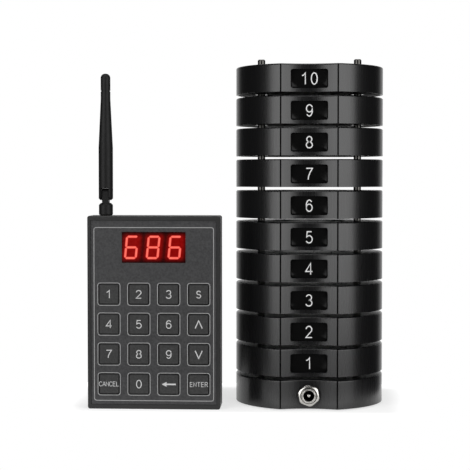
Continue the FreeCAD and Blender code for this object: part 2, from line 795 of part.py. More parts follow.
def make_keypad_board():
    """Make the keypad's populated board: the board, a switch under each key and the battery pack."""
    body = new_body("keypad_board")
    inset = "(keypad_wall + lip_gap + lip_thick + keypad_board_gap)"
    drawing = new_sketch(body, lift="keypad_board_lift")
    middle = "keypad_long / 2"
    draw_rectangle(drawing, f"keypad_wide - 2 * {inset}", f"keypad_long - 2 * {inset}", "0", middle)
    pad(body, drawing, "board_thick")
    drawing = new_sketch(body, lift="keypad_board_lift")
    draw_rectangle(drawing, "pack_wide", "pack_long", "0", "pack_up")
    pad(body, drawing, "pack_tall", backwards=True)
    drawing = new_sketch(body, lift=KEYPAD_BOARD_TOP)
    draw_rectangle(drawing, "switch_wide", "switch_wide", *key_places()[0])
    spread_over_keys(body, pad(body, drawing, "switch_tall"), drawing)
    stand_up(body)
    return body


def make_display():
    """Make the three-digit display, which stands on the board and fills its opening in the fascia."""
    body = new_body("display_module")
    drawing = new_sketch(body, lift=KEYPAD_BOARD_TOP)
    draw_display(drawing)
    pad(body, drawing, f"{FASCIA_TOP} - display_set_in - {KEYPAD_BOARD_TOP}")
    stand_up(body)
    return body


# Antenna: in its own frame the origin is on the keypad's upper end, under the swivel's axis. ----------

def on_keypad(piece):
    """Place a piece of the antenna on the upper end of the keypad."""
    set_place(piece, x=ANTENNA_X, y=ANTENNA_Y, z="keypad_long")


def make_antenna_socket():
    """Make the brass socket: a flange inside the end wall and a stub through it for the knuckle."""
    body = new_body("antenna_socket")
    drawing = new_sketch(body, "XZ_Plane")
    draw_chain(drawing, [("0", f"-keypad_wall - {FLANGE_THICK}"),
                         (f"{FLANGE_ACROSS} / 2", f"-keypad_wall - {FLANGE_THICK}"),
                         (f"{FLANGE_ACROSS} / 2", "-keypad_wall"),
                         ("socket_across / 2", "-keypad_wall"),
                         ("socket_across / 2", "socket_proud"),
                         ("0", "socket_proud")])
    revolve(body, drawing)
    on_keypad(body)
    return body


def make_knuckle():
    """Make the knuckle that turns on the socket and carries the whip's hinge in a flat tongue."""
    body = new_body("antenna_knuckle")
    top = "knuckle_tall"
    drawing = new_sketch(body, "XZ_Plane")
    draw_chain(drawing, [("0", "socket_proud + socket_gap"),
                         ("socket_across / 2 + socket_gap", "socket_proud + socket_gap"),
                         ("socket_across / 2 + socket_gap", "knuckle_low"),
                         ("knuckle_across / 2 - knuckle_chamfer / 2", "knuckle_low"),
                         ("knuckle_across / 2", "knuckle_low + knuckle_chamfer / 2"),
                         ("knuckle_across / 2", f"{top} - knuckle_chamfer"),
                         ("knuckle_across / 2 - knuckle_chamfer", top),
                         ("0", top)])
    revolve(body, drawing)
    drawing = new_sketch(body, lift=top)
    draw_rectangle(drawing, "tongue_thick", "tongue_wide")
    pad(body, drawing, f"hinge_up - {top}")
    drawing = new_sketch(body, "YZ_Plane", "-tongue_thick / 2")
    draw_circle(drawing, "tongue_wide", "0", "hinge_up")
    pad(body, drawing, "tongue_thick")
    drawing = new_sketch(body, "YZ_Plane", "-tongue_thick")
    draw_circle(drawing, "hinge_across + 2 * hinge_gap", "0", "hinge_up")
    pocket(body, drawing, "2 * tongue_thick")
    on_keypad(body)
    return body


def draw_under_hinge(drawing):
    """Draw a block that reaches up to the hinge's height, less the round of the fork's lobes."""
    centre = V(0, number("hinge_up"), 0)
    radius = number("whip_across / 2")
    low = "hinge_up - whip_across"
    corners = [("-whip_across / 2", "hinge_up"), ("-whip_across", "hinge_up"), ("-whip_across", low),
               ("whip_across", low), ("whip_across", "hinge_up"), ("whip_across / 2", "hinge_up")]
    places = [V(number(x), number(y), 0) for x, y in corners]
    edges = [drawing.addGeometry(Part.LineSegment(*pair), False) for pair in zip(places, places[1:])]
    lobe = drawing.addGeometry(Part.Arc(places[0], centre - V(0, radius, 0), places[-1]), False)
    for edge, following in zip(edges, edges[1:]):
        drawing.addConstraint(Sketcher.Constraint("Coincident", edge, 2, following, 1))
    drawing.addConstraint(Sketcher.Constraint("Coincident", lobe, 1, edges[0], 1))
    drawing.addConstraint(Sketcher.Constraint("Coincident", lobe, 2, edges[-1], 2))
    for edge, (x, y) in zip(edges, corners):
        pin_point(drawing, edge, 1, x, y)
    pin_point(drawing, lobe, 3, "0", "hinge_up")
    drawing.addConstraint(Sketcher.Constraint("Horizontal", edges[-1]))


def make_whip():
    """Make the whip: a forked root rounded about the hinge, a tapered barrel and a domed tip."""
    body = new_body("antenna_whip")
    root = "(hinge_up - whip_across / 2)"
    ring = "(whip_neck / 2 - whip_ring_deep)"
    drawing = new_sketch(body, "XZ_Plane")
    draw_chain(drawing, [("0", root),
                         ("whip_across / 2 - whip_lip", root),
                         ("whip_across / 2", f"{root} + whip_lip"),
                         ("whip_across / 2", "whip_taper_from"),
                         ("whip_neck / 2", "whip_taper_to"),
                         ("whip_neck / 2", "whip_ring_at - whip_ring_wide / 2"),
                         (ring, "whip_ring_at - whip_ring_wide / 2"),
                         (ring, "whip_ring_at + whip_ring_wide / 2"),
                         ("whip_neck / 2", "whip_ring_at + whip_ring_wide / 2"),
                         ("whip_neck / 2", "whip_top"),
                         ("0", "whip_top")])
    revolve(body, drawing)
    tip = number("whip_top")
    dress(body, "Fillet", "Radius", "whip_dome", lambda edge: lies_at(edge, tip))
    # Below the hinge the root keeps only what lies within a round about the hinge's axis.
    drawing = new_sketch(body, "YZ_Plane", "-whip_across")
    draw_under_hinge(drawing)
    pocket(body, drawing, "2 * whip_across")
    drawing = new_sketch(body, "YZ_Plane", "-(tongue_thick / 2 + fork_gap)")
    slot_top = "hinge_up + tongue_wide / 2 + fork_gap"
    draw_rectangle(drawing, "2 * whip_across", f"{slot_top} - {root} + whip_across",
                   "0", f"({slot_top} + {root} - whip_across) / 2")
    pocket(body, drawing, "tongue_thick + 2 * fork_gap")
    drawing = new_sketch(body, "YZ_Plane", "-whip_across")
    draw_circle(drawing, "hinge_across + hinge_fit", "0", "hinge_up")
    pocket(body, drawing, "2 * whip_across")
    on_keypad(body)
    return body


def make_hinge_pin():
    """Make the steel pin that runs through the fork and the tongue."""
    body = new_body("antenna_hinge_pin")
    drawing = new_sketch(body, "YZ_Plane", "-whip_across / 2 + pin_short")
    draw_circle(drawing, "hinge_across", "0", "hinge_up")
    pad(body, drawing, "whip_across - 2 * pin_short")
    on_keypad(body)
    return body


def make_feet():
    """Make the eight rubber feet: four under the charger and four on the keypad's back."""
    feet = []
    for x, y in foot_places():
        foot = doc.addObject("Part::Cylinder", "charger_foot")
        set_place(foot, x=f"{STACK_X} + {x}", y=y)
        feet.append(foot)
    for x, y in keypad_foot_places():
        foot = doc.addObject("Part::Cylinder", "keypad_foot")
        set_place(foot, x=f"{KEYPAD_X} + {x}", y=f"{KEYPAD_Y} + foot_proud", z=y, axis=RIGHT, angle=90)
        feet.append(foot)
    for foot in feet:
        foot.setExpression("Radius", bound("foot_across / 2"))
        foot.setExpression("Height", bound("foot_tall"))
    group = doc.addObject("Part::Compound", "rubber_feet")
    group.Label = "rubber_feet"
    group.Links = feet
    return group


def main():
    """Build the document, check it and write one STEP file for each sub-part."""
    pieces = make_pagers()
    pieces += [make_charger_shell(), make_charger_plate(), make_charger_board(), make_jack()]
    pieces += [make_top_case(), make_bottom_case(), make_fascia(), make_keypad_board(), make_display()]
    pieces += make_keys()
    pieces += [make_antenna_socket(), make_knuckle(), make_whip(), make_hinge_pin(), make_feet()]
    doc.recompute()
    for item in doc.Objects:
        if "Invalid" in item.State or "Error" in item.State:
            raise ValueError(f"{item.Label} did not build: {item.State}")
    for piece in pieces:
        if piece.Shape.isNull() or not piece.Shape.isValid() or not piece.Shape.Solids:
            raise ValueError(f"{piece.Label} has no sound shape")
    os.makedirs("parts", exist_ok=True)
    for piece in pieces:
        piece.Shape.exportStep(os.path.join("parts", f"{piece.Label}.step"))


main()
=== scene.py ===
# %% [markdown]
# # Guest pager system
# Ten coaster pagers stand stacked on their charging base, beside the keypad that calls them.  The
# moulded housings, keys, posts and hinge come from the CAD frame, and none of them is changed here.
# This script gives each of them the finish that its maker gave it, and adds what is printed, lit,
# glued in or screwed on.

# %% Tools, and the frame that everything sits in
import json
import math

import bmesh
import bpy
import numpy as np
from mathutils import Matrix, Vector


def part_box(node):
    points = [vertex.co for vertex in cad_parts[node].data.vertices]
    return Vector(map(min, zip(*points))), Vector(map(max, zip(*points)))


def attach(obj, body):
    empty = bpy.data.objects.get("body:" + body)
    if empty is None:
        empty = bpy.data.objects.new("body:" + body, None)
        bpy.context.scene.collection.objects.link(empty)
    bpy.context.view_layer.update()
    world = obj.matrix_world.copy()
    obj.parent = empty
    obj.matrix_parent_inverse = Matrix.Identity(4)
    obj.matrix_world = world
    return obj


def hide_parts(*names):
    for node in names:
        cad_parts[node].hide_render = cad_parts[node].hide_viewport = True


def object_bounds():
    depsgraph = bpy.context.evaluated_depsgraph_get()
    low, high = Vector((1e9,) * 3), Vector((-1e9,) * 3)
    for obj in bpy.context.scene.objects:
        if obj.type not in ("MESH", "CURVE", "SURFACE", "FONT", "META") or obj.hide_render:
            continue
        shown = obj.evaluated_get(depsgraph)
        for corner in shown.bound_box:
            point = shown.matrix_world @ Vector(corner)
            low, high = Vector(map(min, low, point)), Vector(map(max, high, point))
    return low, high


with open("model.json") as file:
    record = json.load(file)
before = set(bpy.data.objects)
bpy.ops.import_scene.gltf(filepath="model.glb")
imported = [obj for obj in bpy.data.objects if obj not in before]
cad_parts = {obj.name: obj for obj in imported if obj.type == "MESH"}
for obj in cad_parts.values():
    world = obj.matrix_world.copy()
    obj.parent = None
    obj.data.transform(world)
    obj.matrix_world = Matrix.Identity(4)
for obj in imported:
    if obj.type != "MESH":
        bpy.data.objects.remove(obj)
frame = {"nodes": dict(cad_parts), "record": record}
nodes = frame["nodes"]
cad_low, cad_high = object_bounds()
MM = 0.001
print("CAD box in mm:", [round(side / MM, 1) for side in cad_high - cad_low])

# %% [markdown]
# ## Camera
# A stack of level rims gives the camera away: rims at the camera's own height are seen as straight
# lines, those above bow up at the middle and those below bow down.  Here that height is near the
# middle of the stack.  The lens follows from how wide the stack looks at a given distance.

# %% Camera
PICTURE_SIDE, FOCAL_PIXELS, SENSOR = 470, 1435, 36.0
CAMERA_PLACE, LOOKS_DOWN, LOOKS_LEFT = (0.0482, -0.986, 0.1532), 2.29, 2.96
camera_data = bpy.data.cameras.new("camera")
camera_data.sensor_width = SENSOR
camera_data.lens = FOCAL_PIXELS / PICTURE_SIDE * SENSOR
camera = bpy.data.objects.new("camera", camera_data)
camera.location = CAMERA_PLACE
camera.rotation_euler = (math.radians(90 - LOOKS_DOWN), 0, math.radians(LOOKS_LEFT))
bpy.context.scene.collection.objects.link(camera)
bpy.context.scene.camera = camera
bpy.context.scene.view_settings.view_transform = "Standard"
print("lens:", round(camera_data.lens, 1), "mm")


# %% [markdown]
# ## From a grid of points to a mesh
# Every piece made here is a surface worked out with numpy: rows of points, where each row is a closed
# line round the piece.  One function turns such grids into a mesh, so a piece only has to say where
# its points are.  Modelling by hand with extrude and bevel would do too, but a formula keeps each
# piece exact to a hundredth of a millimetre, and a change of one value redraws it.

# %% Faces of a grid
def grid_faces(rows, columns):
    """Joins each point of a grid to the next in its row, which is closed, and in the row after it."""
    row, column = np.meshgrid(np.arange(rows - 1), np.arange(columns), indexing="ij")
    following = (column + 1) % columns
    corners = [row * columns + column, row * columns + following,
               (row + 1) * columns + following, (row + 1) * columns + column]
    return np.stack(corners, axis=-1).reshape(-1, 4)


print("a grid of 3 rows by 4 columns has", len(grid_faces(3, 4)), "faces")

# %% Grids into one closed mesh
SEAM_GAP, SMOOTH_UNDER = 0.0005, 30.0


def skin(name, parts, shade=None):
    """Makes one object of grids in millimetres, each given as (points, is_ring).

    Points are (rows, columns, 3).  A ring's last row repeats its first, so it needs no caps, and any
    other grid gets a flat cap on its first and last row.  Seams and poles are merged, and then all
    faces are turned outwards.  Shade is one number per point, kept as the attribute "core".
    """
    points, faces, start = [], [], 0
    for grid, is_ring in parts:
        rows, columns, _ = grid.shape
        points.append(grid.reshape(-1, 3))
        faces += (grid_faces(rows, columns) + start).tolist()
        if not is_ring:
            faces.append(list(range(start + columns - 1, start - 1, -1)))
            faces.append(list(range(start + (rows - 1) * columns, start + rows * columns)))
        start += rows * columns
    mesh = bpy.data.meshes.new(name)
    mesh.from_pydata((np.concatenate(points) * MM).tolist(), [], faces)
    if shade is not None:
        mesh.attributes.new("core", "FLOAT", "POINT").data.foreach_set("value", shade.astype(np.float32))
    shell = bmesh.new()
    shell.from_mesh(mesh)
    bmesh.ops.remove_doubles(shell, verts=shell.verts, dist=SEAM_GAP * MM)
    bmesh.ops.recalc_face_normals(shell, faces=shell.faces)
    shell.to_mesh(mesh)
    shell.free()
    mesh.shade_smooth()
    mesh.set_sharp_from_angle(angle=math.radians(SMOOTH_UNDER))
    piece = bpy.data.objects.new(name, mesh)
    bpy.context.scene.collection.objects.link(piece)
    return piece


print("points closer than", SEAM_GAP, "mm become one; edges under", SMOOTH_UNDER, "degrees are smooth")


# %% A piece gets its finish and its body
def seat(piece, body, finish):
    """Gives a piece its finish in a slot, and parents it to an empty named for the CAD body that carries it.
    """
    piece.data.materials.append(finish)
    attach(piece, body)


# %% [markdown]
# ## Nodes for finishes
# A finish is a small tree of shader nodes.  One function adds any node, sets it and links it.  Colours
# are written as hex codes, as a paint chart gives them, and one function turns them into the linear
# numbers that the renderer works with.

# %% One function that adds a node
def wire(tree, node, inputs):
    """Fills a node's inputs with numbers and colours, or links them to a node or a socket."""
    for key, value in inputs.items():
        value = value.outputs[0] if isinstance(value, bpy.types.Node) else value
        if isinstance(value, bpy.types.NodeSocket):
            tree.links.new(value, node.inputs[key])
        else:
            node.inputs[key].default_value = value


def add_node(tree, kind, inputs=None, **settings):
    """Adds a shader node of a kind, sets its properties, and fills its inputs with values or links."""
    node = tree.nodes.new("ShaderNode" + kind)
    for key, value in settings.items():
        setattr(node, key, value)
    wire(tree, node, inputs or {})
    return node


print("materials before the finishes are made:", len(bpy.data.materials))


# %% Colours, and the start of a finish
def to_linear(code):
    """Turns an sRGB hex colour such as "3f3f3f" into linear red, green, blue and alpha."""
    channels = [int(code[place:place + 2], 16) / 255 for place in (0, 2, 4)]
    return [((c + 0.055) / 1.055) ** 2.4 if c > 0.04045 else c / 12.92 for c in channels] + [1.0]


def new_finish(name, **sockets):
    """Starts a material with one Principled shader, and sets that shader's plain sockets by name."""
    material = bpy.data.materials.new(name)
    material.use_nodes = True
    tree = material.node_tree
    shader = tree.nodes["Principled BSDF"]
    wire(tree, shader, {key.replace("_", " "): value for key, value in sockets.items()})
    place = add_node(tree, "TexCoord").outputs["Object"]
    return material, tree, shader, place


print("mid grey 808080 is", round(to_linear("808080")[0], 3), "in linear light")


# %% [markdown]
# ## Plastics, films, rubbers and inks
# All of these are one family to the eye: a body colour that is never quite even, a gloss that drifts
# where hands and tools have touched it, and a fine relief from the mould or the screen.  What tells
# them apart is how dark they are, how sharp their highlight is and how coarse their relief is.  So one
# function draws the family, and each finish is one call with its own values.

# %% Two tones in patches
PATCH = 18.0
# Nearly all values of a noise lie between these two.
NOISE_SPAN = {"From Min": 0.3, "From Max": 0.7}


def two_tones(tree, place, dark, light, patch=PATCH, detail=3.0):
    """Noise whose patches are as wide as asked, in millimetres, and the colour it mixes of two tones."""
    noise = add_node(tree, "TexNoise", {"Vector": place, "Scale": 1 / (patch * MM), "Detail": detail})
    tones = add_node(tree, "Mix", {0: noise, 6: to_linear(dark), 7: to_linear(light)}, data_type="RGBA")
    return noise, tones.outputs[2]


print("patches of colour are", PATCH, "mm wide, unless a finish says otherwise")


# %% One family of moulded and printed finishes
def moulded(name, dark, light, gloss, grain, relief, ior=1.45, patch=PATCH):
    """Two close tones in patches, a gloss that drifts by a few hundredths, and a grain in relief.

    Grain is the size of a bump and relief its depth, both in millimetres, and so is patch.
    """
    material, tree, shader, place = new_finish(name, IOR=ior)
    _, colour = two_tones(tree, place, dark, light, patch)
    wear = add_node(tree, "TexNoise", {"Vector": place, "Scale": 4 / (patch * MM), "Detail": 5.0})
    rough = add_node(tree, "MapRange", {"Value": wear, **NOISE_SPAN,
                                        "To Min": gloss - 0.03, "To Max": gloss + 0.04})
    bumps = add_node(tree, "TexNoise", {"Vector": place, "Scale": 1 / (grain * MM), "Detail": 2.0})
    bump = add_node(tree, "Bump", {"Height": bumps, "Distance": relief * MM, "Strength": 1.0})
    wire(tree, shader, {"Base Color": colour, "Roughness": rough, "Normal": bump})
    return material


print("noise from", *NOISE_SPAN.values(), "drives the gloss")

# %% [markdown]
# The keypad's case is injection moulded in ABS from a spark-eroded tool, which leaves a fine grain and
# a greyer surface than polish would.  The pagers' bottom plates have the same grain in black.  The
# antenna is a soft elastomer over its coil, and the feet are plain rubber, the dullest of them all.

# %% Case, plates, antenna and feet
# The real grains are 0.05 to 0.2 mm across; they are drawn coarser, so that they show at all.
textured_abs = moulded("textured black injection-moulded ABS", "0e0e0e", "151515", 0.55, 0.5, 0.02)
grained_abs = moulded("charcoal spark-grained ABS", "272727", "2e2e2e", 0.46, 0.7, 0.016, ior=1.33)
elastomer = moulded("matt black antenna elastomer", "0e0e0e", "151515", 0.5, 0.8, 0.010, ior=1.3, patch=8.0)
rubber = moulded("black moulded foot rubber", "0d0d0d", "161616", 0.8, 0.6, 0.02, patch=5.0)
bore_nylon = moulded("black moulded nylon", "050505", "090909", 0.5, 0.5, 0.004, ior=1.2, patch=4.0)
print("materials so far:", len(bpy.data.materials))

# %% [markdown]
# The keypad's face is a sheet of polycarbonate film, printed from behind.  Its front is textured, which
# gives the grey a fine sparkle and makes its gloss a matt veil.  The number windows are polished
# acrylic, painted black on the back: they are the blackest thing here, because a flat polished face
# throws the light away from the viewer.

# %% Films, windows and inks
FILM_PATCH = 1.2
film = moulded("charcoal back-printed polycarbonate film", "252526", "4a4a4b", 0.46, 0.8, 0.012, ior=1.33,
               patch=FILM_PATCH)
acrylic = moulded("polished acrylic with black back paint", "0a0a0a", "0e0e0e", 0.10, 5.0, 0.0004, ior=1.2)
white_ink = moulded("white pad-printed ink", "d2d2d2", "dedede", 0.5, 0.5, 0.002, patch=3.0)
grey_ink = moulded("mid grey screen-printed ink", "8e8e8e", "9c9c9c", 0.55, 0.5, 0.002, patch=3.0)
pale_ink = moulded("pale grey screen-printed ink", "bcbcbc", "cacaca", 0.55, 0.5, 0.002, patch=3.0)
print("materials so far:", len(bpy.data.materials))

# %% [markdown]
# ## Satin black housings
# The pagers and their charger are moulded in ABS from a tool polished to a satin: deep black, with soft
# wide highlights.  The tool was drawn off upwards, which leaves faint upright lines, so the noise behind
# the relief is stretched along Z.  A thin parting groove runs down each corner, where the sliding parts
# of the tool met.  Its place is a distance from the stack's middle plane, on the outer walls only.
# In the groove the colour is near black and the specular level is zero: that darkness is painted shade, as
# the real groove is the same ABS.

# %% Where the stack stands, and how far a point is beside its axis
def middle_of(box):
    """The middle of a box, given as its two corners: x, y and z in millimetres."""
    return [(a + b) / 2 / MM for a, b in zip(*box)]


def beside_axis(tree, place, distance):
    """How far a point is from two planes, each a distance to one side of the stack's axis, and its y."""
    sides = add_node(tree, "SeparateXYZ", {0: place}).outputs
    from_axis = add_node(tree, "Math", {0: sides["X"], 1: stack_x * MM}, operation="SUBTRACT")
    mirrored = add_node(tree, "Math", {0: from_axis}, operation="ABSOLUTE")
    from_plane = add_node(tree, "Math", {0: mirrored, 1: distance * MM}, operation="SUBTRACT")
    return add_node(tree, "Math", {0: from_plane}, operation="ABSOLUTE"), sides["Y"]


stack_x = middle_of(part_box("charger_shell"))[0]
print("the stack's axis stands at x =", round(stack_x, 1), "mm")

# %% Where the parting grooves run
GROOVE_OFF, GROOVE_HALF, GROOVE_DEEP, WALL_FROM = 18.75, 0.5, 0.1, 45.4
satin_abs, tree, shader, place = new_finish("satin black injection-moulded ABS", IOR=1.54)
off_groove, depth = beside_axis(tree, place, GROOVE_OFF)
at_groove = add_node(tree, "MapRange", {"Value": off_groove, "From Min": GROOVE_HALF / 2 * MM,
                                        "From Max": GROOVE_HALF * MM, "To Min": 1.0, "To Max": 0.0})
outwards = add_node(tree, "Math", {0: depth}, operation="ABSOLUTE")
on_wall = add_node(tree, "Math", {0: outwards, 1: WALL_FROM * MM}, operation="GREATER_THAN")
groove = add_node(tree, "Math", {0: at_groove, 1: on_wall}, operation="MULTIPLY")
print("grooves run", GROOVE_OFF, "mm to both sides of that axis and are", GROOVE_DEEP, "mm deep")

# %% Colour, gloss and relief of the satin
LINE_WIDE, LINE_DEEP, LINE_SQUEEZE = 0.9, 0.0015, 0.03
_, tones = two_tones(tree, place, "080809", "0c0c0d")
# Painted shade: in the groove the colour is mixed to near black 020202.
colour = add_node(tree, "Mix", {0: groove, 6: tones, 7: to_linear("020202")}, data_type="RGBA").outputs[2]
# Draw lines are some 0.05 mm wide; they are drawn much wider, so that they show.
stretched = add_node(tree, "Mapping", {"Vector": place, "Scale": (1, 1, LINE_SQUEEZE)})
lines = add_node(tree, "TexNoise", {"Vector": stretched, "Scale": 1 / (LINE_WIDE * MM), "Detail": 3.0})
rough = add_node(tree, "MapRange", {"Value": lines, **NOISE_SPAN, "To Min": 0.26, "To Max": 0.30})
# Painted shade: the specular level falls from 0.5 to 0 in the groove, so it mirrors nothing there.
groove_shade_specular = add_node(tree, "MapRange", {"Value": groove, "To Min": 0.5, "To Max": 0.0})
relief = add_node(tree, "Bump", {"Height": lines, "Distance": LINE_DEEP * MM, "Strength": 1.0})
relief = add_node(tree, "Bump", {"Height": groove, "Distance": -GROOVE_DEEP * MM, "Strength": 1.0,
                                 "Normal": relief})
wire(tree, shader, {"Base Color": colour, "Roughness": rough, "Specular IOR Level": groove_shade_specular, "Normal": relief})
print("draw lines are", LINE_WIDE, "mm wide and", round(LINE_WIDE / LINE_SQUEEZE), "mm long")

# %% [markdown]
# ## Key caps
# The keys are moulded like the case, a touch darker.  Their edges roll away into the gap around them and
# see less light, and that shade is painted: the colour darkens towards the edge of each cap.  The pattern
# is one square that repeats with the keys' pitch, as the keys themselves do.

# %% How far a point is from the middle of its key
first_x, _, first_z = middle_of(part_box("key_1"))
pitch_x, pitch_z = middle_of(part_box("key_2"))[0] - first_x, first_z - middle_of(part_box("key_4"))[2]
key_abs_and_edge_shade, tree, shader, place = new_finish("charcoal moulded key-cap ABS with painted edge shade", IOR=1.33)
sides = add_node(tree, "SeparateXYZ", {0: place}).outputs
offs = []
for side, first, pitch in (("X", first_x, pitch_x), ("Z", first_z, pitch_z)):
    moved = add_node(tree, "Math", {0: sides[side], 1: (pitch / 2 - first) * MM}, operation="ADD")
    folded = add_node(tree, "Math", {0: moved, 1: pitch * MM}, operation="FLOORED_MODULO")
    centred = add_node(tree, "Math", {0: folded, 1: pitch / 2 * MM}, operation="SUBTRACT")
    offs.append(add_node(tree, "Math", {0: centred}, operation="ABSOLUTE"))
off_centre = add_node(tree, "Math", {0: offs[0], 1: offs[1]}, operation="MAXIMUM")
print("keys repeat every", round(pitch_x, 2), "by", round(pitch_z, 2), "mm")

# %% Key caps
CAP, SHADE_BAND, CAP_GRAIN, CAP_RELIEF = 13.4, 0.75, 0.7, 0.010
# Painted shade: each cap's colour is mixed to near black 0a0a0a over a band along its edge.
painted_edge_shade = add_node(tree, "MapRange", {"Value": off_centre, "From Min": (CAP / 2 - SHADE_BAND) * MM,
                                     "From Max": (CAP / 2 - SHADE_BAND / 3) * MM})
patches, tones = two_tones(tree, place, "222222", "444444", FILM_PATCH)
colour = add_node(tree, "Mix", {0: painted_edge_shade, 6: tones, 7: to_linear("0a0a0a")}, data_type="RGBA").outputs[2]
worn = add_node(tree, "MapRange", {"Value": patches, "To Min": 0.40, "To Max": 0.50})
grain = add_node(tree, "TexNoise", {"Vector": place, "Scale": 1 / (CAP_GRAIN * MM), "Detail": 2.0})
relief = add_node(tree, "Bump", {"Height": grain, "Distance": CAP_RELIEF * MM, "Strength": 1.0})
wire(tree, shader, {"Base Color": colour, "Roughness": worn, "Normal": relief})
print("painted shade darkens a cap over its last", SHADE_BAND, "mm")


# %% [markdown]
# ## Metals
# The jack's nut and bush are nickel-plated brass, the antenna's socket is plated black, and the screws
# are black zinc.  All were turned on a lathe, which leaves fine rings about their axis.  A wave
# pattern draws those rings, and a Mapping node sets its middle on the axis of the piece.

# %% Turned metals
# A wave texture at a scale of 1 repeats every so many metres.
WAVE_LENGTH = 0.314
# A ring is really about 0.1 mm wide; it is drawn five times wider, so that it shows.
STAIN, RING_APART = 2.5, 0.5


def turned(name, dark, light, gloss, centre=(0, 0, 0), axis="Y", deep=0.002):
    """A plated metal with turned rings about an axis through a centre; all sizes in millimetres."""
    material, tree, shader, place = new_finish(name, Metallic=1.0)
    stains, colour = two_tones(tree, place, dark, light, STAIN)
    rough = add_node(tree, "MapRange", {"Value": stains, **NOISE_SPAN,
                                        "To Min": gloss - 0.04, "To Max": gloss + 0.06})
    centred = add_node(tree, "Mapping", {"Vector": place, "Location": [-side * MM for side in centre]})
    scale = WAVE_LENGTH / (RING_APART * MM)
    rings = add_node(tree, "TexWave", {"Vector": centred, "Scale": scale, "Distortion": 0.4},
                     wave_type="RINGS", rings_direction=axis)
    bump = add_node(tree, "Bump", {"Height": rings, "Distance": deep * MM, "Strength": 1.0})
    wire(tree, shader, {"Base Color": colour, "Roughness": rough, "Normal": bump})
    return material


print("turned rings are drawn", RING_APART, "mm apart")

# %% Plated pieces
jack_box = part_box("dc_jack")
jack_centre = middle_of(jack_box)
nickel = turned("nickel-plated turned brass", "a3a19d", "d4d2ce", 0.25, jack_centre, deep=0.012)
black_nickel = turned("black-nickel-plated turned brass", "2a2825", "3a3733", 0.28,
                      middle_of(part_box("antenna_socket")), "Z")
steel = turned("bright drawn steel pin", "9d9d9f", "b8b8ba", 0.28)
black_zinc = turned("black zinc-plated steel", "2b2b2c", "3c3c3e", 0.34)
print("jack's middle in mm:", [round(side, 1) for side in jack_centre])

# %% [markdown]
# ## Circuit boards with contact posts
# A pager's board carries two nickel contact posts that pass through the roof, so that pagers charge
# each other in the stack.  Board and posts are one node, so one finish holds both: it measures how far
# a point is from a post's axis, and turns from green solder mask to nickel within that.

# %% Solder mask and nickel posts
POST_OFF, POST_REACH = 32.8, 5.6
board_finish, tree, shader, place = new_finish("solder-masked board with nickel posts", IOR=1.5)
off_post, depth = beside_axis(tree, place, POST_OFF)
flat = add_node(tree, "CombineXYZ", {"X": off_post, "Y": depth})
reach = add_node(tree, "VectorMath", {0: flat}, operation="LENGTH").outputs["Value"]
is_post = add_node(tree, "Math", {0: reach, 1: POST_REACH * MM}, operation="LESS_THAN")
print("posts lie", POST_OFF, "mm to both sides of the stack's axis")

# %% The two surfaces of that finish
# Turned lines round a post are 0.1 mm apart; here they are drawn as bands of 0.6 mm.
WEAVE, BAND_APART, BAND_DEEP = 1.2, 0.6, 0.003
weave, mask = two_tones(tree, place, "0b3a1b", "125228", WEAVE, detail=4.0)
colour = add_node(tree, "Mix", {0: is_post, 6: mask, 7: to_linear("474644")}, data_type="RGBA").outputs[2]
rough = add_node(tree, "MapRange", {"Value": weave, "To Min": 0.08, "To Max": 0.16})
scale = WAVE_LENGTH / (BAND_APART * MM)
bands = add_node(tree, "TexWave", {"Vector": place, "Scale": scale, "Distortion": 0.3},
                 wave_type="BANDS", bands_direction="Z")
bump = add_node(tree, "Bump", {"Height": bands, "Distance": BAND_DEEP * MM, "Strength": 1.0})
wire(tree, shader, {"Base Color": colour, "Metallic": is_post, "Roughness": rough, "Normal": bump})
print("bands round a post are", BAND_APART, "mm apart")

# %% [markdown]
# ## Display
# Three seven-segment figures glow behind a deep red filter.  Each figure is a block of light guides, and
# some light leaks round them, so the filter itself glows dull red about each figure and falls off to
# black at the edges.  That glow is a pattern on the filter: it repeats with the figures' pitch.

# %% The filter's own glow
DIGIT_TALL, DIGIT_WIDE, DIGIT_PITCH, SEGMENT, LEAN = 15.8, 8.8, 14.4, 1.7, 0.1
display_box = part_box("display_module")
display_x, _, display_z = middle_of(display_box)
filter_finish, tree, shader, place = new_finish("deep red acrylic filter over lit figures", IOR=1.2)
middle = (-display_x * MM, 0, -display_z * MM)
centred = add_node(tree, "Mapping", {"Vector": place, "Location": middle})
sides = add_node(tree, "SeparateXYZ", {0: centred}).outputs
slant = add_node(tree, "Math", {0: sides["Z"], 1: -LEAN, 2: sides["X"]}, operation="MULTIPLY_ADD")
cell = add_node(tree, "Math", {0: slant, 1: 1.5 * DIGIT_PITCH * MM}, operation="ADD")
folded = add_node(tree, "Math", {0: cell, 1: DIGIT_PITCH * MM}, operation="FLOORED_MODULO")
from_figure = add_node(tree, "Math", {0: folded, 1: DIGIT_PITCH / 2 * MM}, operation="SUBTRACT")
across = add_node(tree, "Math", {0: from_figure}, operation="ABSOLUTE")
upright = add_node(tree, "Math", {0: sides["Z"]}, operation="ABSOLUTE")
print("figures stand", DIGIT_PITCH, "mm apart about x =", round(display_x, 1), "and z =", round(display_z, 1))

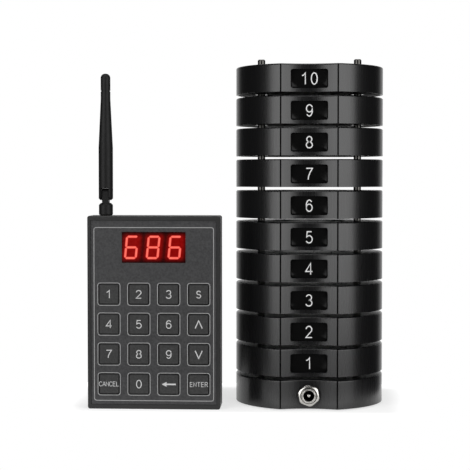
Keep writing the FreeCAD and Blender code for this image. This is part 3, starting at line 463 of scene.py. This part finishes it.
# %% How that glow falls off
# For each direction: where the glow starts to fade, where it ends, and what is left of it there.
BESIDE, ABOVE, MOTTLE, RIPPLE_DEEP = (3.6, 7.4, 0.2), (6.0, 10.2, 0.05), 2.5, 0.0005
mottle, colour = two_tones(tree, place, "140000", "1e0101", MOTTLE, detail=2.0)
strength = add_node(tree, "MapRange", {"Value": mottle, "To Min": 0.75, "To Max": 1.25})
for distance, (near, far, left) in ((across, BESIDE), (upright, ABOVE)):
    fade = add_node(tree, "MapRange", {"Value": distance, "From Min": near * MM, "From Max": far * MM,
                                       "To Min": 1.0, "To Max": left}, interpolation_type="SMOOTHSTEP")
    strength = add_node(tree, "Math", {0: strength, 1: fade}, operation="MULTIPLY")
smear = add_node(tree, "MapRange", {"Value": mottle, "To Min": 0.22, "To Max": 0.34})
ripple = add_node(tree, "Bump", {"Height": mottle, "Distance": RIPPLE_DEEP * MM, "Strength": 1.0})
wire(tree, shader, {"Base Color": colour, "Roughness": smear, "Normal": ripple,
                    "Emission Color": to_linear("860200"), "Emission Strength": strength})
print("the glow ends", BESIDE[1], "mm beside a figure's middle and", ABOVE[1], "mm above or below it")

# %% [markdown]
# A lit segment is brightest along its middle, where the eye and the film wash out to pink, and
# saturated red at its rim.  The mesh carries a number for that, 1 at the middle and 0 at the rim, and
# the finish reads it as the attribute "core".

# %% Lit segments
lit_segment, tree, shader, place = new_finish("lit red light-guide segment", IOR=1.2)
FLICKER, DIMPLE_DEEP = 3.0, 0.001
core = add_node(tree, "Attribute", attribute_name="core").outputs["Fac"]
flicker, warmth = two_tones(tree, place, "ff625a", "ff8c76", FLICKER, detail=1.0)
lit = add_node(tree, "Mix", {0: core, 6: to_linear("e01810"), 7: warmth}, data_type="RGBA").outputs[2]
haze = add_node(tree, "MapRange", {"Value": flicker, "To Min": 0.35, "To Max": 0.5})
dimple = add_node(tree, "Bump", {"Height": flicker, "Distance": DIMPLE_DEEP * MM, "Strength": 1.0})
wire(tree, shader, {"Base Color": to_linear("3a0505"), "Roughness": haze, "Normal": dimple,
                    "Emission Color": lit, "Emission Strength": 1.0})
print("materials so far:", len(bpy.data.materials))

# %% [markdown]
# ## Finishes onto the CAD nodes
# The record names a material slot for each node.  The node's own mesh stays as it is, and only its
# slot is filled.

# %% Finishes onto the CAD nodes
FINISH = {"black_shell": satin_abs, "black_cover": textured_abs, "circuit_board": board_finish,
          "grey_case": grained_abs, "fascia": film, "key": key_abs_and_edge_shade, "display": filter_finish,
          "antenna": elastomer, "socket_brass": black_nickel, "pin_steel": steel,
          "jack_nickel": nickel, "foot_rubber": rubber}
for part in frame["record"]["subparts"]:
    slots = nodes[part["node"]].data.materials
    slots.clear()
    slots.append(FINISH[part["material_slot"]])


# %% [markdown]
# ## Printed lines and figures
# Everything printed faces the front, so it is drawn on an upright plane: across along X and up along Z.
# A figure is a sign writer's single stroke: its centre line is made of arcs and straights, one unit
# tall, and a ribbon of even width follows it.  A text object would do too, but its letters have serifs
# and weights that pad printing on such a device doesn't.

# %% Lines made of arcs and straights
def bow(x, y, reach_x, reach_y, start, stop, count=16):
    """An oval arc about (x, y): its reach times the cosine and sine of each angle, in degrees."""
    turn = np.radians(np.linspace(start, stop, count))
    return np.stack([x + reach_x * np.cos(turn), y + reach_y * np.sin(turn)], axis=1)


def path(*parts):
    """Joins points and arcs into one line."""
    return np.vstack([np.atleast_2d(part) for part in parts])


def rounded(wide, tall, corner, count=7):
    """A closed rectangle with round corners: four quarter arcs in turn, about the middle."""
    x, y = wide / 2 - corner, tall / 2 - corner
    quarters = [bow(x, y, corner, corner, 0, 90, count), bow(-x, y, corner, corner, 90, 180, count),
                bow(-x, -y, corner, corner, 180, 270, count), bow(x, -y, corner, corner, 270, 360, count)]
    return path(*quarters, quarters[0][0])


print("a rounded rectangle has", len(rounded(10, 5, 1)), "points")

# %% A flat outline stood up, and a ribbon along a line
LEAST_COSINE = 0.5


def stand(outline, depth, centre):
    """Stands a flat outline up at one depth along Y, about a centre given as (x, z)."""
    across, up = (outline + centre).T
    return np.stack([across, np.full(len(outline), depth), up], axis=1)


def ribbon(line, wide, front, thick, centre):
    """Follows a line with a strip: each point moves half the width to both sides along the bisector.

    At a bend the bisector is longer, by one over the cosine of half the bend, so the width stays even.
    """
    closed = np.allclose(line[0], line[-1])
    line = line[:-1] if closed else line
    ahead = np.roll(line, -1, 0) - line
    behind = np.roll(ahead, 1, 0)
    if not closed:
        ahead[-1] = ahead[-2]
        behind[0] = ahead[0]
    ahead /= np.linalg.norm(ahead, axis=1, keepdims=True)
    behind /= np.linalg.norm(behind, axis=1, keepdims=True)
    along = ahead + behind
    along /= np.linalg.norm(along, axis=1, keepdims=True)
    aside = np.stack([-along[:, 1], along[:, 0]], axis=1)
    reach = aside * wide / 2 / np.clip((along * ahead).sum(1, keepdims=True), LEAST_COSINE, 1)
    back = front - thick
    edges = [(line + reach, front), (line - reach, front), (line - reach, back), (line + reach, back)]
    grid = np.stack([stand(edge, depth, centre) for edge, depth in edges])
    return (np.concatenate([grid, grid[:1]]), True) if closed else (grid.transpose(1, 0, 2), False)


print("a bend's corner reaches out at most", 1 / LEAST_COSINE, "times the stroke")

# %% [markdown]
# ## The figures
# Digits, letters and arrows, each one unit tall, standing on zero and centred across on zero.

# %% The figures
STROKES = {
    "0": [bow(0, 0.5, 0.26, 0.5, 90, 450, 33)],
    "1": [path((-0.23, 0.74), (-0.05, 0.84), (0.06, 1.0), (0.06, 0.0))],
    "2": [path(bow(0, 0.715, 0.255, 0.285, 172, -28), (-0.27, 0.0), (0.28, 0.0))],
    "3": [path(bow(-0.01, 0.755, 0.235, 0.245, 163, -80), bow(-0.01, 0.265, 0.27, 0.265, 80, -163))],
    "4": [path((0.14, 0.0), (0.14, 1.0), (-0.30, 0.27), (0.30, 0.27))],
    "5": [path((0.22, 1.0), (-0.17, 1.0), (-0.225, 0.52), bow(0.0, 0.325, 0.275, 0.325, 128, -152))],
    "6": [path(bow(0.01, 0.5, 0.27, 0.5, 42, 180), (-0.26, 0.32), bow(0, 0.32, 0.26, 0.32, 180, 540, 25))],
    "7": [path((-0.27, 1.0), (0.28, 1.0), (0.06, 0.62), (-0.06, 0.3), (-0.09, 0.0))],
    "8": [bow(0, 0.76, 0.22, 0.24, 90, 450, 25), bow(0, 0.26, 0.265, 0.26, 90, 450, 25)],
    "S": [path(bow(0, 0.74, 0.25, 0.26, 22, 255, 14), bow(0, 0.255, 0.28, 0.255, 75, -160, 14))],
    "C": [bow(0.02, 0.5, 0.36, 0.5, 42, 318, 22)],
    "A": [path((-0.34, 0.0), (0.0, 1.0), (0.34, 0.0)), path((-0.22, 0.33), (0.22, 0.33))],
    "N": [path((-0.28, 0.0), (-0.28, 1.0), (0.28, 0.0), (0.28, 1.0))],
    "E": [path((0.27, 1.0), (-0.25, 1.0), (-0.25, 0.0), (0.28, 0.0)), path((-0.25, 0.53), (0.23, 0.53))],
    "L": [path((-0.23, 1.0), (-0.23, 0.0), (0.26, 0.0))],
    "T": [path((-0.32, 1.0), (0.32, 1.0)), path((0.0, 1.0), (0.0, 0.0))],
    "R": [path((-0.27, 0.0), (-0.27, 1.0), bow(0.07, 0.755, 0.21, 0.245, 90, -90, 10), (-0.27, 0.51)),
          path((0.03, 0.51), (0.32, 0.0))],
    "^": [path((-0.46, 0.0), (0.0, 1.0), (0.46, 0.0))],
    "v": [path((-0.46, 1.0), (0.0, 0.0), (0.46, 1.0))],
}
STROKES["9"] = [np.array([0.0, 1.0]) - line for line in STROKES["6"]]
print("figures that can be written:", "".join(sorted(STROKES)))

# %% Writing a row of figures
INK = 0.05


def write(name, figures, tall, stroke, advance, centre, front, broad=1.0):
    """Writes figures in a row: each stroke is scaled to its height and breadth, and the row is centred."""
    parts, size = [], tall - stroke
    for place, figure in enumerate(figures):
        middle = (centre[0] + (place - (len(figures) - 1) / 2) * advance, centre[1] - size / 2)
        parts += [ribbon(line * size * (broad, 1), stroke, front, INK, middle) for line in STROKES[figure]]
    return skin(name, parts)


print("ink stands", INK, "mm proud")


# %% [markdown]
# ## Number windows
# Each pager shows its number behind a small black acrylic window, glued into its recess in the hollow
# front.  The window is a rounded plate: rings of the same rounded rectangle, drawn in at the front for
# a polished bevel that catches a thin line of light.

# %% A bevelled plate
# Each ring of the bevel: how far it is drawn in and set back, as shares of the bevel.
BEVEL = [(0.0, 1.0), (0.3, 0.3), (1.0, 0.0)]


def plate(name, wide, tall, corner, centre, back, front, edge):
    """A rounded plate in rings: its back, and then one ring for each step of the bevel."""
    rings = [(0, back)] + [(edge * inset, front + edge * behind) for inset, behind in BEVEL]
    rows = [stand(rounded(wide - 2 * inset, tall - 2 * inset, corner - inset)[:-1], depth, centre)
            for inset, depth in rings]
    return skin(name, [(np.stack(rows), False)])


print("a plate has", 1 + len(BEVEL), "rings")

# %% Number windows and numerals
HOLLOW_FRONT, RECESS_DEEP, WINDOW_DROP = -42.70, 0.8, 0.6
WINDOW_WIDE, WINDOW_TALL, WINDOW_CORNER, WINDOW_THICK, WINDOW_EDGE = 24.3, 12.3, 1.4, 0.55, 0.2
NUMERAL_TALL, NUMERAL_STROKE, NUMERAL_ADVANCE = 8.1, 0.7, 6.3
recess_floor = HOLLOW_FRONT + RECESS_DEEP
window_front = recess_floor - WINDOW_THICK
for number in range(1, 11):
    pager = f"pager_{number:02d}"
    middle = (stack_x, middle_of(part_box(f"{pager}_shell"))[2] - WINDOW_DROP)
    window = plate(f"{pager}_window", WINDOW_WIDE, WINDOW_TALL, WINDOW_CORNER, middle,
                   recess_floor, window_front, WINDOW_EDGE)
    seat(window, pager, acrylic)
    numeral = write(f"{pager}_numeral", str(number), NUMERAL_TALL, NUMERAL_STROKE, NUMERAL_ADVANCE,
                    middle, window_front)
    seat(numeral, pager, white_ink)
print("windows glued in, with their front at y =", round(window_front, 2))

# %% [markdown]
# ## Keypad print
# The face is printed in light grey: a border, a ring round each key and a legend on every key.  Rings
# and border are ribbons that follow a rounded rectangle.  Each legend rides on its own key.

# %% Key rings
RING, RING_CORNER, RING_STROKE, FILM_INK = 15.3, 1.8, 0.46, 0.04
# The arrow on the key "back" has no letters: it is made of a head and a shaft.
LEGENDS = {"1": "1", "2": "2", "3": "3", "s": "S",
           "4": "4", "5": "5", "6": "6", "up": "^",
           "7": "7", "8": "8", "9": "9", "down": "v",
           "cancel": "CANCEL", "0": "0", "back": "", "enter": "ENTER"}
key_centres = {key: middle_of(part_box(f"key_{key}"))[::2] for key in LEGENDS}
film_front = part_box("keypad_fascia")[0].y / MM
ring_line = rounded(RING - RING_STROKE, RING - RING_STROKE, RING_CORNER)
rings = [ribbon(ring_line, RING_STROKE, film_front, FILM_INK, centre) for centre in key_centres.values()]
seat(skin("key_rings", rings), "base", grey_ink)
print("key rings:", len(rings))

# %% The border
BORDER_TOP, BORDER_FOOT, BORDER_SIDE, BORDER_STROKE, BORDER_CORNER = 7.7, 5.6, 4.4, 0.5, 1.5
case_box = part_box("keypad_top_case")
case_low, case_high = case_box
top, foot = case_high.z / MM - BORDER_TOP, case_low.z / MM + BORDER_FOOT
wide = (case_high.x - case_low.x) / MM - 2 * BORDER_SIDE
middle = (middle_of(case_box)[0], (top + foot) / 2)
border = ribbon(rounded(wide, top - foot, BORDER_CORNER), BORDER_STROKE, film_front, FILM_INK, middle)
seat(skin("fascia_border", [border]), "base", grey_ink)
print("border in mm:", round(wide, 1), "by", round(top - foot, 1))

# %% Legends
# Height, stroke and breadth of each kind of legend.
DIGIT, CHEVRON = (5.7, 0.58, 1.2), (5.8, 0.68, 1.0)
LETTER, WORD = (5.2, 0.56, 1.05), (3.2, 0.34, 1.05)
WORD_ADVANCE = {"CANCEL": 2.25, "ENTER": 2.48}
ARROW = {"tip": -4.7, "neck": -1.5, "tail": 4.7, "half": 1.65, "shaft": 1.0}
key_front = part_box("key_1")[0].y / MM
for key, legend in LEGENDS.items():
    centre, name = key_centres[key], f"legend_{key}"
    if legend:
        tall, stroke, broad = (WORD if legend in WORD_ADVANCE else CHEVRON if legend in "^v" else
                               LETTER if legend == "S" else DIGIT)
        piece = write(name, legend, tall, stroke, WORD_ADVANCE.get(legend, 0), centre, key_front, broad)
    else:
        neck, half = ARROW["neck"], ARROW["half"]
        head = np.array([(ARROW["tip"], 0), (neck, -half), (neck, half)])
        shaft = path((neck, 0), (ARROW["tail"], 0))
        solid_head = np.stack([stand(head, depth, centre) for depth in (key_front, key_front - INK)])
        piece = skin(name, [(solid_head, False), ribbon(shaft, ARROW["shaft"], key_front, INK, centre)])
    seat(piece, f"key_{key}_body", pale_ink)
print("legends printed:", len(LEGENDS))

# %% [markdown]
# ## Lit figures
# A segment is a long six-sided bar.  It could be one flat face, but a raised middle gives the light its
# bright core: three rings go from the back to the rim to a smaller outline at the middle.  The whole
# figure leans to the right, as on most such modules, so every outline is sheared by its height.

# %% Display segments
# Each segment: its centre as shares of half the width and half the height, and whether it stands up.
SEGMENTS = {"a": (0, 1, False), "b": (1, 0.5, True), "c": (1, -0.5, True), "d": (0, -1, False),
            "e": (-1, -0.5, True), "f": (-1, 0.5, True), "g": (0, 0, False)}
LIT = {"6": "acdefg", "8": "abcdefg"}
FIGURES_ASIDE, RIM, CORE_INSET, SEGMENT_GAP = -0.35, 0.04, 0.32, 0.4


def bar(half, thick):
    """A long hexagon: two tips, and two flats half the thickness to each side."""
    tip = thick / 2
    flat = half - tip
    return np.array([(-half, 0), (-flat, -tip), (flat, -tip), (half, 0), (flat, tip), (-flat, tip)])


def segment(share_x, share_z, stands, centre, front):
    """Rings of one hexagon, from its back to its rim and in to its core, sheared with the figure."""
    half_wide, half_tall = (DIGIT_WIDE - SEGMENT) / 2, (DIGIT_TALL - SEGMENT) / 2
    half = (half_tall / 2 if stands else half_wide) - SEGMENT_GAP + SEGMENT / 4
    rings = []
    for inset, depth in ((0, front), (0, front - RIM), (SEGMENT * CORE_INSET, front - 2 * RIM)):
        outline = bar(half - inset, SEGMENT - 2 * inset)
        outline = (outline[:, ::-1] if stands else outline) + (share_x * half_wide, share_z * half_tall)
        outline[:, 0] += outline[:, 1] * LEAN
        rings.append(stand(outline, depth, centre))
    return np.stack(rings)


print("a segment is", len(bar(1, 1)), "points round")

# %% The three figures
filter_front = display_box[0].y / MM
grids = []
for place, figure in enumerate("686"):
    centre = (display_x + FIGURES_ASIDE + (place - 1) * DIGIT_PITCH, display_z)
    grids += [(segment(*SEGMENTS[name], centre, filter_front), False) for name in LIT[figure]]
shade = np.concatenate([np.repeat([0.0, 0.0, 1.0], grid.shape[1]) for grid, _ in grids])
seat(skin("display_segments", grids, shade), "base", lit_segment)
print("lit segments:", len(grids))

# %% [markdown]
# ## Screws
# Each plate that closes a housing from below is held by four cross-head screws in round seats, and so
# is the back of the keypad.  A screw's head is a disc of rings: the height of a point falls with the
# square of its distance from the middle, and it drops further where it lies in the cross.

# %% A cross-head screw
SCREW_ACROSS, SCREW_THICK, SCREW_DOME, SCREW_POINTS = 4.4, 0.8, 0.2, 48
CROSS_HALF, CROSS_REACH, CROSS_DEEP = 0.32, 1.45, 0.45
# The rings' shares of the radius lie close together where the cross starts and ends.
SCREW_RINGS = np.array([0.02, 0.10, 0.14, 0.16, 0.3, 0.5, 0.64, 0.68, 0.85, 0.97, 1.0])[:, None]


def screw_head(centre, facing):
    """A disc of rings about a centre, its height along the facing axis: y for +Y and z for -Z.

    Height is the thickness less a fifth of it at the rim, by the square of the share of the radius,
    less the cross's depth where one side is under the cross's half width and the other in its reach.
    """
    turn = np.linspace(0, 2 * np.pi, SCREW_POINTS, endpoint=False) + np.pi / SCREW_POINTS
    radius = SCREW_ACROSS / 2 * SCREW_RINGS
    across, along = radius * np.cos(turn), radius * np.sin(turn)
    nearer, further = np.minimum(abs(across), abs(along)), np.maximum(abs(across), abs(along))
    in_cross = (nearer < CROSS_HALF) & (further < CROSS_REACH)
    height = SCREW_THICK * (1 - SCREW_DOME * SCREW_RINGS ** 2) - CROSS_DEEP * in_cross
    across, along = np.concatenate([across, across[-1:]]), np.concatenate([along, along[-1:]])
    height = np.concatenate([height, 0 * height[-1:]])
    sides = (across, height, along) if facing == "y" else (across, along, -height)
    return np.stack(sides, axis=-1) + centre, False


print("screw head:", SCREW_ACROSS, "mm across,", SCREW_THICK, "mm thick")

# %% Screws in their seats
SCREW_OFF, SCREW_FORE, SCREW_SEAT = 38.3, 22.1, 0.9
KEYPAD_SCREW_OFF, KEYPAD_SCREW_IN = 37.7, 6.3
for label in [f"pager_{number:02d}" for number in range(1, 11)] + ["charger"]:
    body, cover = ("base", "charger_bottom_plate") if label == "charger" else (label, f"{label}_cover")
    seat_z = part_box(cover)[0].z / MM + SCREW_SEAT
    heads = [screw_head((stack_x + x, y, seat_z), "z")
             for x in (-SCREW_OFF, SCREW_OFF) for y in (-SCREW_FORE, SCREW_FORE)]
    seat(skin(f"{label}_screws", heads), body, black_zinc)
back_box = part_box("keypad_bottom_case")
back_low, back_high = back_box
keypad_x, seat_y = middle_of(back_box)[0], back_high.y / MM - SCREW_SEAT
heads = [screw_head((keypad_x + x, seat_y, z), "y") for x in (-KEYPAD_SCREW_OFF, KEYPAD_SCREW_OFF)
         for z in (back_low.z / MM + KEYPAD_SCREW_IN, back_high.z / MM - KEYPAD_SCREW_IN)]
seat(skin("keypad_screws", heads), "base", black_zinc)
print("screws on the keypad's back", KEYPAD_SCREW_IN, "mm from its ends")

# %% [markdown]
# ## Power jack
# A panel jack is two turned parts.  The bush is a profile turned round the axis: pin, floor, bore, a
# rounded lip, a few turns of thread and the body behind the panel.  The nut is a hexagon whose front
# was turned to a cone of 30 degrees, which gives the curved edges of every real nut: each point lies
# as far out as the flats and the cone both allow.

# %% The bush and its pin
# Radii and lengths of the bush.  AXIS is the radius of its first and last ring, which caps close.
BORE, LIP, LIP_LONG, FLOOR_THICK, BODY, BODY_LONG, AXIS = 3.65, 0.42, 0.7, 2.0, 6.3, 11.0, 0.02
THREAD_START, THREAD_CREST, THREAD_ROOT, THREAD_PITCH = 0.75, 4.95, 4.6, 0.6
PIN, PIN_BACK, PIN_ROUND = 1.25, 1.2, 0.6
face, back = (corner.y / MM for corner in jack_box)
arc = np.linspace(np.pi, 0, 9)
lip = path(np.column_stack([BORE + LIP * (1 + np.cos(arc)), face + LIP * (1 - np.sin(arc))]),
           (BORE + 2 * LIP, face + LIP_LONG), (THREAD_ROOT, face + LIP_LONG))
turns = np.arange(face + THREAD_START, HOLLOW_FRONT, THREAD_PITCH / 2)
thread = np.column_stack([np.where(np.arange(len(turns)) % 2, THREAD_ROOT, THREAD_CREST), turns])
dome = np.linspace(AXIS, np.pi / 2, 7)
tip = np.column_stack([PIN * np.sin(dome), face + PIN_BACK + PIN_ROUND * PIN * (1 - np.cos(dome))])
section = path(tip, (PIN, back - FLOOR_THICK), (BORE, back - FLOOR_THICK), lip, thread,
               (THREAD_ROOT, back - BODY_LONG), (BODY, back - BODY_LONG), (BODY, back), (AXIS, back))


def revolved(radii, depths, turn):
    """Points at x = middle + radius cos(turn), y = depth, z = middle + radius sin(turn)."""
    radii, depths = radii + 0 * turn, depths + 0 * turn
    return np.stack([stack_x + radii * np.cos(turn), depths, jack_centre[2] + radii * np.sin(turn)], axis=-1)


turn = np.linspace(0, 2 * np.pi, 72, endpoint=False)[None]
jack_parts = [(revolved(section[:, :1], section[:, 1:], turn), False)]
print("the bush is a profile of", len(section), "points")

# %% The nut
NUT_FLATS, NUT_CORNERS, NUT_FACE, NUT_HOLE, NUT_EDGE = 13.0, 14.1, 5.85, 5.2, 0.25
NUT_THICK, NUT_TURN, NUT_STEP, CONE = 2.0, 10, 2.5, 0.577
steps = np.radians(np.arange(0, 360, NUT_STEP))[None]
turn = steps + np.radians(NUT_TURN)
from_flat = (steps + np.pi / 6) % (np.pi / 3) - np.pi / 6
rim = np.minimum(NUT_FLATS / 2 / np.cos(from_flat), NUT_CORNERS / 2)
nut_front = HOLLOW_FRONT - NUT_THICK
cone = NUT_FACE + (rim - NUT_FACE) * np.linspace(0, 1, 4)[:, None]
# The rings go up the hole, over its bevelled edge, down the cone and the flats, and back to the hole.
hole, near, far = (np.full_like(rim, value) for value in (NUT_HOLE, nut_front, HOLLOW_FRONT))
radii = np.concatenate([hole, hole, hole + NUT_EDGE, cone, rim, hole])
depths = np.concatenate([far, near + NUT_EDGE, near, nut_front + (cone - NUT_FACE) * CONE, far, far])
jack_parts.append((revolved(radii, depths, turn), True))
jack = skin("power_jack", jack_parts)
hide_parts("dc_jack")
seat(jack, "base", nickel)
print("nut:", NUT_FLATS, "mm across flats,", NUT_CORNERS, "mm across its turned corners")

# %% The nylon sleeve in the bore
SLEEVE_OUT, SLEEVE_IN, PIN_ROOM, SLEEVE_SET_IN, SLEEVE_LONG, SLEEVE_FLOOR = 3.6, 3.2, 1.3, 0.5, 9.0, 0.6
front = face + SLEEVE_SET_IN
floor = front + SLEEVE_LONG
step = floor - SLEEVE_FLOOR
section = np.array([(SLEEVE_OUT, front), (SLEEVE_IN, front), (SLEEVE_IN, step), (PIN_ROOM, step),
                    (PIN_ROOM, floor), (SLEEVE_OUT, floor), (SLEEVE_OUT, front)])
sleeve = revolved(section[:, :1], section[:, 1:], turn)
seat(skin("jack_sleeve", [(sleeve, True)]), "base", bore_nylon)
print("sleeve runs from y =", round(front, 2), "to", round(floor, 2))


# %% [markdown]
# ## Dark pad for shade in the antenna's hinge
# The tongue of the hinge turns in a slot of the whip.  A thin black pad lies against the root of that
# slot and stands in for shade there: it dims the gap through which the white room would show.  It is a flat
# plate with its corners rounded.

# %% The dark pad in the hinge
PAD_WIDE, PAD_DEEP, PAD_THICK, PAD_CORNER, SLOT_ROOT = 4.6, 6.0, 0.24, 0.5, 3.3
hinge = middle_of(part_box("antenna_hinge_pin"))
outline = rounded(PAD_WIDE, PAD_DEEP, PAD_CORNER)[:-1] + hinge[:2]
rows = [np.column_stack([outline, np.full(len(outline), hinge[2] + SLOT_ROOT - down)])
        for down in (0.0, PAD_THICK)]
# A dark piece standing in for shade in the hinge slot.
seat(skin("hinge_shade_pad", [(np.stack(rows), False)]), "whip", rubber)
print("hinge's middle in mm:", [round(side, 1) for side in hinge])


# %% [markdown]
# ## Studio
# A black glossy object shows its lamps more than its own colour, so the lamps are placed by what they
# leave in the housings: a tall softbox to each side of the camera, which the round lobes and the hollow
# fronts mirror beside their seams, and darkness in between.  A wide lamp above fills the tops.

# %% Softboxes
def softbox(name, place, aim, wide, tall, watts):
    """An area lamp at a place, turned so that its face looks at an aim."""
    data = bpy.data.lights.new(name, "AREA")
    data.shape = "RECTANGLE"
    data.size, data.size_y, data.energy = wide, tall, watts
    lamp = bpy.data.objects.new(name, data)
    x, y, z = np.array(place) - np.array(aim)
    lamp.location = place
    lamp.rotation_euler = (math.atan2(math.hypot(x, y), z), 0, math.atan2(x, -y))
    bpy.context.scene.collection.objects.link(lamp)


# Each softbox: its middle's bearing from straight ahead, as seen from the stack, and how wide it looks.
SOFTBOXES = {"left softbox": (-40.3, 42.6), "right softbox": (47.1, 50.2)}
LAMP_AWAY, LAMP_LOW, LAMP_HIGH, LAMP_GLARE = 1.35, -0.11, 0.95, 3.25
TOP_PLACE, TOP_AIM, TOP_WIDE, TOP_TALL, TOP_WATTS = (0.0, -0.2, 1.2), (0, 0, 0.1), 1.0, 0.8, 6
level, tall = (LAMP_LOW + LAMP_HIGH) / 2, LAMP_HIGH - LAMP_LOW
for name, (bearing, breadth) in SOFTBOXES.items():
    bearing, wide = math.radians(bearing), 2 * LAMP_AWAY * math.tan(math.radians(breadth / 2))
    place = (stack_x * MM + LAMP_AWAY * math.sin(bearing), -LAMP_AWAY * math.cos(bearing), level)
    softbox(name, place, (stack_x * MM, 0, level), wide, tall, LAMP_GLARE * math.pi * wide * tall)
softbox("top softbox", TOP_PLACE, TOP_AIM, TOP_WIDE, TOP_TALL, TOP_WATTS)
print("lamps:", len(bpy.data.lights))

# %% [markdown]
# The room is white to the camera, at a strength of exactly 1, and dimmer as a light on matt surfaces, so
# that the lamps still shape the object.  In reflections it is a white sheet behind the object, and
# falls to a dark room elsewhere, which is what makes a black housing look black from in front.

# %% World
DARK_ROOM, ROOM_LIGHT, SHEET_FROM = 0.03, 0.2, 0.72
world = bpy.data.worlds.new("studio")
bpy.context.scene.world = world
world.use_nodes = True
tree = world.node_tree
rays = add_node(tree, "LightPath").outputs
towards = add_node(tree, "SeparateXYZ", {0: add_node(tree, "TexCoord").outputs["Object"]})
mirrored = add_node(tree, "MapRange", {"Value": towards.outputs["Y"], "From Min": SHEET_FROM,
                                       "To Min": DARK_ROOM}, interpolation_type="SMOOTHSTEP")
light = add_node(tree, "Mix", {0: rays["Is Glossy Ray"], 2: ROOM_LIGHT, 3: mirrored})
in_view = add_node(tree, "Math", {0: rays["Is Camera Ray"], 1: rays["Is Transmission Ray"]},
                   operation="MAXIMUM")
strength = add_node(tree, "Mix", {0: in_view, 2: light, 3: 1.0})
wire(tree, tree.nodes["Background"], {"Color": to_linear("ffffff"), "Strength": strength})
print("room in front is", DARK_ROOM, "as bright in reflections as the room behind")

# %% [markdown]
# The set stands on a white card that is only a little larger than itself.  A wide white floor would be
# mirrored by the lower housings and grey them.  The card adds light of its own for rays that come from
# the camera or from a mirroring surface: some six tenths of full white beside the object, and all of it
# at the card's rim, where it passes into the white room.  So no edge or horizon shows, and the object's
# soft shadow stays.

# %% Floor
CARD_MARGIN = 0.032
half_x, half_y = cad_high.x, cad_high.y
floor_mesh = bpy.data.meshes.new("floor")
card_x, card_y = half_x + CARD_MARGIN, half_y + CARD_MARGIN
corners = [(-card_x, -card_y, 0), (card_x, -card_y, 0), (card_x, card_y, 0), (-card_x, card_y, 0)]
floor_mesh.from_pydata(corners, [], [(0, 1, 2, 3)])
floor_sheet = bpy.data.objects.new("floor", floor_mesh)
bpy.context.scene.collection.objects.link(floor_sheet)
floor_paint, tree, shader, place = new_finish("white paper card", Roughness=0.8, Specular_IOR_Level=0.0)
print("card in mm:", round(2 * card_x / MM, 1), "by", round(2 * card_y / MM, 1))

# %% How the card's own light grows towards its rim
# The light is full a little before the rim.
GLOW_NEAR, GLOW_FULL = 0.62, 0.9
rays = add_node(tree, "LightPath").outputs
in_view = add_node(tree, "Math", {0: rays["Is Camera Ray"], 1: rays["Is Glossy Ray"]}, operation="MAXIMUM")
in_view = add_node(tree, "Math", {0: in_view, 1: rays["Is Transmission Ray"]}, operation="MAXIMUM")
mirrored = add_node(tree, "VectorMath", {0: place}, operation="ABSOLUTE")
beyond = add_node(tree, "VectorMath", {0: mirrored, 1: (half_x, half_y, 0)}, operation="SUBTRACT")
beyond = add_node(tree, "VectorMath", {0: beyond, 1: (0, 0, 0)}, operation="MAXIMUM")
away = add_node(tree, "VectorMath", {0: beyond}, operation="LENGTH").outputs["Value"]
own_light = add_node(tree, "MapRange", {"Value": away, "From Max": CARD_MARGIN * GLOW_FULL,
                                        "To Min": GLOW_NEAR}, interpolation_type="SMOOTHSTEP")
own_light = add_node(tree, "Math", {0: in_view, 1: own_light}, operation="MULTIPLY")
wire(tree, shader, {"Base Color": to_linear("aaaaaa"), "Emission Color": to_linear("ffffff"),
                    "Emission Strength": own_light})
floor_mesh.materials.append(floor_paint)
print("card reaches", CARD_MARGIN / MM, "mm beyond the set")
